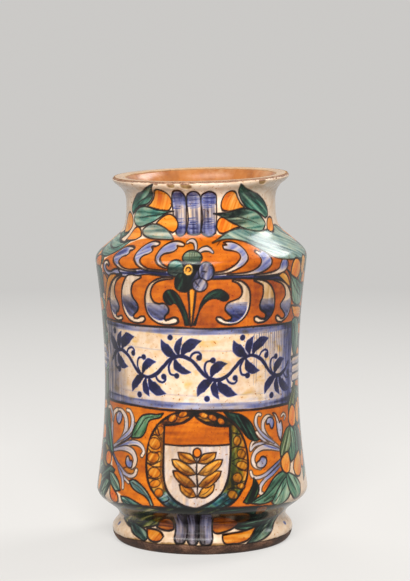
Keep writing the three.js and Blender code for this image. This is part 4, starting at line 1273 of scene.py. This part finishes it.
def blue_scroll(x, z, size, flip, turns=1.4, start=0.0):
    """A spiral of blue foliage: a curling stem, lobed leaves along its outside and a flower at its eye"""
    share = np.linspace(0, 1, 60)
    way = math.radians(start) + 2 * math.pi * turns * share
    radius = size * (1 - 0.8 * share ** 0.85)
    stem = np.stack([x + flip * radius * np.cos(way), z + radius * np.sin(way)], 1)
    for number in range(2, 44, 7):
        root, ahead = stem[number], stem[number + 1] - stem[number]
        along = ahead / np.hypot(*ahead)
        out = np.array([along[1], -along[0]]) * flip
        reach = 0.5 * size * (1 - number / 66)
        lobe = drawn([root - along * 0.1 * reach, root + out * 0.5 * reach - along * 0.1 * reach,
                      root + out * 0.95 * reach + along * 0.5 * reach],
                     [root + out * 0.5 * reach + along * 0.55 * reach, root + along * 0.7 * reach], [])
        deeper = lobe.near(*root, 0.1 * reach, 0.6 * reach)
        lobe.wash("blue", 0.34, 60, 0.8).wash("blue", 0.5, 60, 0.6, deeper).rim(0.9, 1.0, "blue")
        brush([root, root + out * 0.45 * reach + along * 0.25 * reach], 0.8, 0.9, "blue", (1, 0.2))
    brush(stem, 2.3, 1.1, "blue", (1, 0.5))
    for turn in range(18, 360, 72):
        (across, up), = placed([(0.13 * size, 0)], *stem[-1], turn)
        petal = reserved(oval(across, up, 0.085 * size, 0.085 * size, 0, 12))
        petal.wash("blue", 0.45, 0, 0.6).rim(0.7, 0.9, "blue")
    eye = reserved(oval(*stem[-1], 0.075 * size, 0.075 * size, 0, 12))
    eye.wash("yellow", 0.9).wash("orange", 0.3).rim(0.7, 0.9, "blue")


def blue_sprig(x, z, size, turn):
    """A small sprig between the scrolls: three leaves and two berries"""
    for lean, share in ((0, 1), (48, 0.72), (-48, 0.72)):
        tip = placed([(0, 0), (0.5 * size * share, 0.06 * size), (size * share, 0)], x, z, turn + lean)
        brush(tip, 0.3 * size * share, 0.85, "blue", (0.3, 0.05))
    for lean in (24, -24):
        (across, up), = placed([(0.78 * size, 0)], x, z, turn + lean)
        brush([(x, z), (across, up)], 0.5, 0.7, "blue")
        Shape(oval(across, up, 0.9, 0.9, 0, 10)).wash("blue", 0.9)


def back():
    """The side turned to the wall, painted more simply: scrolls of blue foliage on the white"""
    seam = math.pi * SHEET_RADIUS
    for side in (-1, 1):
        for height, up in ((171, 1), (63, -1)):
            blue_scroll(side * (seam - 22), height, 17.5, side * up, 1.4, 200 if up > 0 else 20)
            blue_scroll(side * (seam - 62), height + 1, 16, -side * up, 1.4, 160 if up > 0 else 340)
            for across, rise, turn in ((42, 17, 90), (42, -17, 270), (82, 17, 150), (82, -18, 210)):
                blue_sprig(side * (seam - across), height + rise * 0.72, 8, turn if side < 0 else 180 - turn)
            for lean, reach in ((0, 15), (32, 12), (64, 9)):
                tilt = math.radians(90 + lean) if side > 0 else math.radians(90 - lean)
                for way in (1, -1):
                    root = side * (seam - 0.6), height + way * 4
                    tip = side * seam + reach * math.cos(tilt), root[1] + way * reach * math.sin(tilt)
                    bend = (side * seam + tip[0]) / 2, (root[1] + tip[1]) / 2 + 1
                    brush([root, bend, tip], 3.2, 0.85, "blue", (0.3, 0.08))
        blue_scroll(side * (seam - 19), 121.5, 14, -side, 1.3, 180)
        blue_scroll(side * (seam - 53), 121.5, 14, side, 1.3, 0)
        for across, rise, turn in ((36, 12, 90), (36, -12, 270), (74, 0, 180)):
            blue_sprig(side * (seam - across), 121.5 + rise * 0.7, 7, turn if side < 0 else 180 - turn)
        for across in range(5, 84, 10):
            x = side * (seam - across)
            brush([(x, 213), (x + side * 1.5, 219), (x - side, 226)], 3.0, 0.9, "blue", (0.3, 0.5))
            brush([(x + side * 3.4, 212), (x + side * 5, 218)], 1.8, 0.8, "blue", (0.6, 0.3))
            brush([(x - side * 3, 212), (x - side * 4.6, 217)], 1.8, 0.8, "blue", (0.6, 0.3))
            brush([(x, 11.4), (x + side * 2, 18)], 2.6, 0.85, "blue", (0.5, 0.5))
        for height, width in (
                (229, 0.8), (209, 1.5), (206.4, 0.7), (197, 0.7), (194.4, 1.6), (148.2, 1.5), (145, 0.7),
                (98, 0.7), (95.2, 1.5), (38, 0.7), (35, 1.6), (23, 1.2), (9, 0.8)):
            brush([(side * (seam + 2 - across), height + 0.25 * math.sin(0.21 * across + height))
                   for across in range(0, 92, 8)], width, 0.85, "blue", (1, 0.4))


def painting():
    """The whole painting, in the order in which one thing overlaps another"""
    back()
    for side in (-1, 1):
        garland(side)
    upper_panel()
    neck()
    lower_panel()
    banner()
    foot()
    shoulder_leaves()
    left_details()
    right_details()
    ribbons()


# Materials. Textures are laid out in millimetres of the object itself

NOISE = "ShaderNodeTexNoise"
RAMP = "ShaderNodeValToRGB"
RANGE = "ShaderNodeMapRange"
MATH = "ShaderNodeMath"
MIX = "ShaderNodeMix"
LAYER = "ShaderNodeAttribute"

# Settings that many nodes share; a tint multiplies one colour by another, and a blend takes a share of each
TIMES = {"operation": "MULTIPLY"}
LARGER = {"operation": "MAXIMUM"}
TINT = {"data_type": "RGBA", "blend_type": "MULTIPLY", 0: 1.0}
BLEND = {"data_type": "RGBA", "blend_type": "MIX"}
TEXTURE = {"Scale": 1.0, "Roughness": 0.55}

# How strongly glass and fired clay bend light, and the bump that all three finishes have, in millimetres
REFRACTION = 1.45
TIN_SWELL = 0.12
CLAY_GRIT = 0.12
LEAD_RUNS = 0.2


def placing(tree, size_x, size_y, size_z):
    """Object coordinates scaled so that one turn of a texture measures the given millimetres"""
    place = node(tree, "ShaderNodeTexCoord")
    return node(tree, "ShaderNodeMapping", {"Scale": [1 / (MM * size) for size in (size_x, size_y, size_z)]},
                Vector=place.outputs["Object"])


def new_material(name):
    """An empty material with its node tree and its shader"""
    material = bpy.data.materials.new(name)
    material.use_nodes = True
    tree = material.node_tree
    return material, tree, tree.nodes["Principled BSDF"]


def finish(tree, shader, colour, roughness, height, depth):
    """Feeds the shader; height is a pattern from 0 to 1 and depth its size in millimetres"""
    shader.inputs["IOR"].default_value = REFRACTION
    tree.links.new(colour, shader.inputs["Base Color"])
    tree.links.new(roughness.outputs[0], shader.inputs["Roughness"])
    bump = node(tree, "ShaderNodeBump", {"Strength": 1.0, "Distance": depth * MM}, Height=height)
    tree.links.new(bump.outputs[0], shader.inputs["Normal"])


def painted_tin_glaze():
    """Opaque white tin glaze painted with metal oxides before its one firing, so the colours sink into it:
    they pool, streak and blur at their edges under one even gloss"""
    material, tree, shader = new_material("painted tin glaze")
    cloud = node(tree, NOISE, {**TEXTURE, "Detail": 3.0}, Vector=placing(tree, 24, 24, 24))
    curdle = node(tree, NOISE, {**TEXTURE, "Detail": 4.0}, Vector=placing(tree, 3.2, 3.2, 3.2))
    hairs = node(tree, NOISE, {**TEXTURE, "Detail": 2.0}, Vector=placing(tree, 1.3, 1.3, 1.3))
    white = node(tree, RAMP, {"stops": ((0.3, "#d8bfa6"), (0.5, "#e6cdb3"), (0.7, "#efdcc8"))}, Fac=cloud)
    curds = node(tree, RAMP, {"stops": ((0.34, "#f6eadd"), (0.58, "#ffffff"))}, Fac=curdle)
    colour = node(tree, MIX, TINT, _6=white, _7=curds).outputs[2]

    # Iron specks in the glaze, which burn to small rust-brown spots
    iron = node(tree, NOISE, {**TEXTURE, "Detail": 1.0}, Vector=placing(tree, 1.7, 1.7, 1.7))
    density = node(tree, MATH, TIMES, _0=iron,
                   _1=node(tree, RANGE, {"To Min": 0.9, "To Max": 1.08}, Value=cloud))
    rust = node(tree, RAMP, {"stops": ((0.67, "#ffffff"), (0.72, "#dcb88f"), (0.8, "#b07c4c"))}, Fac=density)
    colour = node(tree, MIX, TINT, _6=colour, _7=rust).outputs[2]

    # The clay that shows where the glaze is worn or chipped
    bare = node(tree, LAYER, {"attribute_name": "bare"}).outputs["Fac"]
    body = node(tree, RAMP, {"stops": ((0.3, "#6f4a2a"), (0.5, "#a07a48"), (0.7, "#c6a570"))}, Fac=curdle)
    colour = node(tree, MIX, BLEND, _0=bare, _6=colour, _7=body).outputs[2]

    # Each pigment tints what lies under it, by how thickly it was brushed on
    load = node(tree, MATH, TIMES, _0=node(tree, RANGE, {"To Min": 0.72, "To Max": 1.28}, Value=curdle),
                _1=node(tree, RANGE, {"To Min": 0.86, "To Max": 1.14}, Value=hairs))
    for pigment, tints in PIGMENT_TINTS.items():
        layer = node(tree, LAYER, {"attribute_name": pigment}).outputs["Fac"]
        share = node(tree, RANGE, {"From Min": 0, "From Max": THICKEST, "To Min": 0, "To Max": 1},
                     Value=layer)
        thick = node(tree, MATH, TIMES, _0=share, _1=load)
        stops = [(density / THICKEST, code) for density, code in tints]
        tinted = node(tree, RAMP, {"stops": stops}, Fac=thick)
        colour = node(tree, MIX, TINT, _6=colour, _7=tinted).outputs[2]
    gloss = node(tree, MATH, TIMES, _0=node(tree, RANGE, {"To Min": 0.8, "To Max": 1.2}, Value=cloud),
                 _1=node(tree, RANGE, {"To Min": 0.2, "To Max": 0.8}, Value=bare))
    swell = node(tree, NOISE, {**TEXTURE, "Detail": 2.0}, Vector=placing(tree, 9, 9, 9))
    finish(tree, shader, colour, gloss, swell, TIN_SWELL)
    return material


def fired_clay():
    """Earthenware fired to a tan biscuit: matt, gritty, and dark brown on the foot's outer edge"""
    material, tree, shader = new_material("fired earthenware")
    stain = node(tree, NOISE, {**TEXTURE, "Detail": 3.0}, Vector=placing(tree, 14, 14, 8))
    grit = node(tree, NOISE, {**TEXTURE, "Detail": 3.0}, Vector=placing(tree, 0.9, 0.9, 0.9))
    brown = node(tree, RAMP, {"stops": ((0.32, "#30221c"), (0.5, "#523b30"), (0.66, "#82614e"))}, Fac=stain)

    # Only the foot's outer edge is dark brown; the clay under the jar and at the lip stays tan
    radius = node(tree, "ShaderNodeVectorMath", {"operation": "LENGTH"},
                  _0=placing(tree, 1, 1, math.inf)).outputs["Value"]
    height = node(tree, "ShaderNodeSeparateXYZ", Vector=placing(tree, 1, 1, 1)).outputs["Z"]
    outer = node(tree, RANGE,
                 {"From Min": STANDING_RADIUS - 5, "From Max": STANDING_RADIUS - 1, "To Min": 0, "To Max": 1},
                 Value=radius)
    low = node(tree, RANGE, {"From Min": BARE_EDGE + 4, "From Max": BARE_EDGE + 14, "To Min": 1, "To Max": 0},
               Value=height)
    dark_foot_edge = node(tree, MATH, TIMES, _0=outer, _1=low)
    tan = node(tree, RAMP, {"stops": ((0.3, "#8d6450"), (0.66, "#b38a6f"))}, Fac=stain)
    colour = node(tree, MIX, BLEND, _0=dark_foot_edge, _6=tan, _7=brown).outputs[2]
    gritty = node(tree, RAMP, {"stops": ((0.35, "#a89c92"), (0.6, "#ffffff"))}, Fac=grit)
    colour = node(tree, MIX, TINT, _6=colour, _7=gritty).outputs[2]
    finish(tree, shader, colour, node(tree, RANGE, {"To Min": 0.55, "To Max": 0.85}, Value=stain), grit,
           CLAY_GRIT)
    return material


def lead_glaze():
    """Clear lead glaze over the clay of the inside: amber, wet-looking, darker where it ran thick"""
    material, tree, shader = new_material("amber lead glaze")
    runs = node(tree, NOISE, {**TEXTURE, "Detail": 3.0}, Vector=placing(tree, 12, 12, 60))
    cloud = node(tree, NOISE, {**TEXTURE, "Detail": 3.0}, Vector=placing(tree, 26, 26, 26))
    speck = node(tree, NOISE, {**TEXTURE, "Detail": 2.0}, Vector=placing(tree, 2.2, 2.2, 2.2))
    amber = node(tree, RAMP, {"stops": ((0.3, "#8e5020"), (0.5, "#ae6b33"), (0.72, "#be8755"))}, Fac=runs)
    dusty = node(tree, RANGE, {"From Min": 0.45, "From Max": 0.75, "To Min": 0, "To Max": 0.7}, Value=cloud)
    dust = node(tree, RAMP, {"stops": ((0.35, "#92562a"), (0.65, "#b4875f"))}, Fac=speck)
    colour = node(tree, MIX, BLEND, _0=dusty, _6=amber, _7=dust).outputs[2]
    finish(tree, shader, colour, node(tree, RANGE, {"To Min": 0.2, "To Max": 0.36}, Value=cloud), runs,
           LEAD_RUNS)
    return material


# Pieces of the jar

# Points around the lip, and around what is plain
LIP_POINTS_AROUND = 720
PLAIN_POINTS_AROUND = 360
# The hole that is left on the axis of a turned mesh, too small to see
AXIS_HOLE = 0.4
# Room between the clay and its coats where they are hidden
BEDDING = 0.08
# How far the clay lies under the worn line of the lip
WORN_DEPTH = 0.12
# Rings that the thrower's fingers left inside, and the turning tool under the foot: depth and spacing
FINGER_RINGS = (0.22, 7.5)
TOOL_RINGS = (0.12, 3.4)
# What hands and dust have left in the glaze of the lip, as loads of pigment
LIP_GRIME = {"ochre": 0.18, "orange": 0.05, "dark": 0.14}


def rings_of(size, run):
    """Shallow rings along a line: size is their depth and spacing"""
    depth, spacing = size
    return depth * np.sin(2 * math.pi * run / spacing)


def set_layer(piece, name, values):
    """Gives each point of a mesh its share of a layer"""
    layer = piece.data.attributes.new(name, "FLOAT", "POINT")
    layer.data.foreach_set("value", values.astype(np.float32).ravel())


def dress(piece, material, node_name):
    """Gives a piece its material and its place in the frame"""
    piece.data.materials.append(material)
    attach(piece, "root")
    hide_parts(node_name)


def backed(line, thickness, spacing):
    """The hidden back of a coat, running from its end to its start, thinned out at both edges"""
    back = evenly(line, spacing)
    run = run_along(back)
    edge = np.minimum(run, run[-1] - run) / COAT_ROLL
    depth = thickness * np.sqrt(np.clip(edge * (2 - edge), 0, 1) * (edge < 1) + (edge >= 1))
    return (back - outward(back) * depth[:, None])[::-1][1:-1]


def outer_glaze(material):
    """The painted coat: its lower edge runs unevenly around the foot, and its lip is worn and chipped"""
    angle = SHEET_X / SHEET_RADIUS
    run = run_along(glazed)
    slip = seeded_wave(5, angle, 2, 14, 0.9) + seeded_wave(6, angle, 20, 60, 0.25)
    moved = np.clip(run[:, None] + slip * (1 - step_up(run, 0.5, 9))[:, None], 0, None)
    moved[0] = slip
    below = np.minimum(moved, 0)
    radius = np.interp(moved, run, glazed[:, 0]) + 0.45 * below
    height = np.interp(moved, run, glazed[:, 1]) + 0.9 * below
    hollow = CHIP_DEPTH * layers["bare"] * (SHEET_Z > SLOPE[1])[:, None]
    normal = outward(glazed)
    front = np.stack([radius - hollow * normal[:, :1], height - hollow * normal[:, 1:]], -1)
    back = full_rings(backed(glazed, TIN_COAT, 3.0), POINTS_AROUND)
    piece = turned("outer_glaze", np.concatenate([front, back]))
    hidden = np.zeros((len(back), POINTS_AROUND))
    for name, layer in layers.items():
        set_layer(piece, name, np.clip(np.concatenate([layer, hidden]), 0, THICKEST))
    dress(piece, material, "outer_tin_glaze")


def lip_glaze(material):
    """The coat on top of the lip, worn to the clay at its outer and inner edge"""
    around = LIP_POINTS_AROUND
    line = evenly(lip_top_line(), 0.35)
    rings = np.concatenate([full_rings(line, around), full_rings(backed(line, TIN_COAT, 1.2), around)])
    piece = turned("lip_glaze", rings)
    angle = np.linspace(0, 2 * math.pi, around, endpoint=False) - math.pi
    inward = (line[0, 0] - line[:, 0])[:, None]
    edge = 0.7 + seeded_wave(8, angle, 3, 40, 0.7) + seeded_wave(9, angle, 40, 120, 0.3)
    inner = 0.5 + seeded_wave(11, angle, 3, 60, 0.7)
    worn = np.zeros(rings.shape[:2])
    worn[:len(line)] = 0.95 * (1 - step_up(inward - edge, -0.5, 0.5))
    worn[:len(line)] += 0.6 * step_up(inward + inner, LIP_TOP_WIDTH - 0.7, LIP_TOP_WIDTH)
    for pigment in PIGMENTS:
        set_layer(piece, pigment, np.full_like(worn, LIP_GRIME.get(pigment, 0)))
    set_layer(piece, "bare", np.clip(worn, 0, 1))
    dress(piece, material, "lip_tin_glaze")


def lining():
    """The inside, with the shallow rings that the thrower's fingers left"""
    line = evenly(inside_line(), 0.8)
    line = line[line[:, 0] > AXIS_HOLE]
    run = run_along(line)
    ridge = rings_of(FINGER_RINGS, run) * step_up(run, 10, 30)
    line = line - outward(line) * ridge[:, None]
    back = evenly(inside_line(), 4.0)
    back = (back - outward(back) * LEAD_COAT)[back[:, 0] > AXIS_HOLE][::-1]
    piece = turned("lining", full_rings(np.concatenate([line, back]), PLAIN_POINTS_AROUND))
    dress(piece, lead_glaze(), "inner_lead_glaze")


def clay_body():
    """The thrown clay: seen at the foot's edge, under the jar, and in the worn line of the lip"""
    recess = STANDING_RADIUS - RING_WIDTH
    base = evenly(np.array([(AXIS_HOLE, RECESS_DEPTH), (recess - RECESS_DEPTH, RECESS_DEPTH)]), 0.8)
    base[:, 1] += rings_of(TOOL_RINGS, base[:, 0])
    foot = outside[outside[:, 1] <= BARE_EDGE + 2.2]
    sunk = 0.3 * step_up(foot[:, 1], BARE_EDGE - 1.4, BARE_EDGE - 0.4)
    sunk += (TIN_COAT - 0.3 + BEDDING) * step_up(foot[:, 1], BARE_EDGE - 0.2, BARE_EDGE + 1.8)
    foot = foot - outward(foot) * sunk[:, None]
    cover = evenly(glazed[glazed[:, 1] > BARE_EDGE + 2.6], 1.5)
    covered = 1 - step_up(cover[:, 1], JAR_HEIGHT - 3.5, JAR_HEIGHT - 1)
    sunk = (TIN_COAT + BEDDING) * covered + WORN_DEPTH * (1 - covered)
    cover = cover - outward(cover) * sunk[:, None]
    top = evenly(lip_top_line(), 0.8)
    inward = top[0, 0] - top[:, 0]
    sunk = WORN_DEPTH + (TIN_COAT + BEDDING - WORN_DEPTH) * step_up(inward, 0.6, 2)
    top = top - outward(top) * sunk[:, None]
    inside = evenly(inside_line(), 3.0)
    inside = inside - outward(inside) * (LEAD_COAT + BEDDING + 0.3)
    inside = inside[(inside[:, 0] > AXIS_HOLE) & (inside[:, 1] < JAR_HEIGHT - 2.2)]
    line = np.vstack([base, [(recess, 0.1), (recess + 0.6, 0)], foot, cover, top, inside])
    piece = turned("clay_jar", full_rings(line, PLAIN_POINTS_AROUND))
    dress(piece, fired_clay(), "clay_body")


painting()
wear()
tin_glaze = painted_tin_glaze()
outer_glaze(tin_glaze)
lip_glaze(tin_glaze)
lining()
clay_body()

# The camera stands where the photographer stood: millimetres, radians and pixels of the photograph
CAMERA_BACK = 1731.3
CAMERA_HEIGHT = 386.0
CAMERA_PITCH = 0.1277
CAMERA_ROLL = 0.00519
PHOTO_HEIGHT = 581
FOCAL_PIXELS = 2669.4
FRAME_SHIFT_PIXELS = 5.47
SENSOR_HEIGHT = 36
FAR_CLIP = 60
camera_data = bpy.data.cameras.new("camera")
camera_data.sensor_fit = "VERTICAL"
camera_data.sensor_height = SENSOR_HEIGHT
camera_data.lens = FOCAL_PIXELS * SENSOR_HEIGHT / PHOTO_HEIGHT
camera_data.shift_x = FRAME_SHIFT_PIXELS / PHOTO_HEIGHT
camera_data.clip_end = FAR_CLIP
camera = bpy.data.objects.new("camera", camera_data)
camera.location = (0, -CAMERA_BACK * MM, CAMERA_HEIGHT * MM)
camera.rotation_euler = (math.pi / 2 - CAMERA_PITCH, CAMERA_ROLL, 0)
bpy.context.collection.objects.link(camera)
bpy.context.scene.camera = camera


def lamp(name, place, aim, size, power, mirrored=True, lights=True):
    """A soft box, in metres and watts: one that isn't mirrored leaves no bright patch on the glaze, and one
    that doesn't light leaves only that patch"""
    data = bpy.data.lights.new(name, "AREA")
    data.shape = "RECTANGLE"
    data.size, data.size_y = size
    data.energy = power
    made = bpy.data.objects.new(name, data)
    made.location = place
    made.rotation_euler = (Vector(aim) - Vector(place)).to_track_quat("-Z", "Y").to_euler()
    made.visible_glossy = mirrored
    made.visible_diffuse = lights
    bpy.context.collection.objects.link(made)


lamp("key", (-0.05, -1.6, 1.0), (0, 0, 0.12), (0.9, 0.9), 52, mirrored=False)
lamp("sheen", (-0.3, -0.75, 1.4), (0, 0, 0.19), (1.4, 0.6), 16, lights=False)
lamp("window", (1.0, 0.7, 1.3), (0, 0, 0.14), (0.7, 0.75), 16)
lamp("fill", (-0.9, 1.7, 1.1), (0, 0, 0.12), (1.4, 1.2), 24, mirrored=False)


def seen_directly(tree):
    """1 for what the camera sees itself, in a reflection or through glass, and 0 for light on the object"""
    path = node(tree, "ShaderNodeLightPath")
    reflected = node(tree, MATH, LARGER, _0=path.outputs["Is Glossy Ray"],
                     _1=path.outputs["Is Transmission Ray"])
    return node(tree, MATH, LARGER, _0=path.outputs["Is Camera Ray"], _1=reflected)


# The studio's walls look pale and throw little light, so that the sides of the jar stay dark.
# The floor takes the jar's shadow near it, and further away runs into the walls without an edge
STUDIO_PALE = hexed("#f1efec")
LIGHT_THROWN = 0.2
PALE_NEAR = 0.58
PALE_FAR = 0.68
FLOOR_NEAR = 0.35
FLOOR_FAR = 1.3
FLOOR_HALF = 30

world = bpy.data.worlds.new("studio")
world.use_nodes = True
bpy.context.scene.world = world
tree = world.node_tree
background = tree.nodes["Background"]
background.inputs["Color"].default_value = STUDIO_PALE
strength = node(tree, RANGE, {"To Min": LIGHT_THROWN, "To Max": PALE_FAR}, Value=seen_directly(tree))
tree.links.new(strength.outputs[0], background.inputs["Strength"])

corners = [(x * FLOOR_HALF, y * FLOOR_HALF, 0) for x, y in ((-1, -1), (1, -1), (1, 1), (-1, 1))]
floor_mesh = bpy.data.meshes.new("floor")
floor_mesh.from_pydata(corners, [], [(0, 1, 2, 3)])
floor = bpy.data.objects.new("floor", floor_mesh)
floor_paint, tree, shader = new_material("pale floor")
shader.inputs["Roughness"].default_value = 0.8
shader.inputs["Specular IOR Level"].default_value = 0.0
shader.inputs["Emission Color"].default_value = STUDIO_PALE
place = node(tree, "ShaderNodeTexCoord").outputs["Object"]
distance = node(tree, "ShaderNodeVectorMath", {"operation": "LENGTH"}, _0=place).outputs["Value"]
far = node(tree, RANGE, {"From Min": FLOOR_NEAR, "From Max": FLOOR_FAR, "To Min": 0, "To Max": 1},
           Value=distance)
grey = node(tree, RAMP, {"stops": ((0, "#8a8885"), (1, "#000000"))}, Fac=far)
tree.links.new(grey.outputs[0], shader.inputs["Base Color"])
glow = node(tree, MATH, TIMES, _0=seen_directly(tree),
            _1=node(tree, RANGE, {"To Min": PALE_NEAR, "To Max": PALE_FAR}, Value=far))
tree.links.new(glow.outputs[0], shader.inputs["Emission Strength"])
floor_mesh.materials.append(floor_paint)
bpy.context.collection.objects.link(floor)

bpy.context.scene.view_settings.view_transform = "Standard"
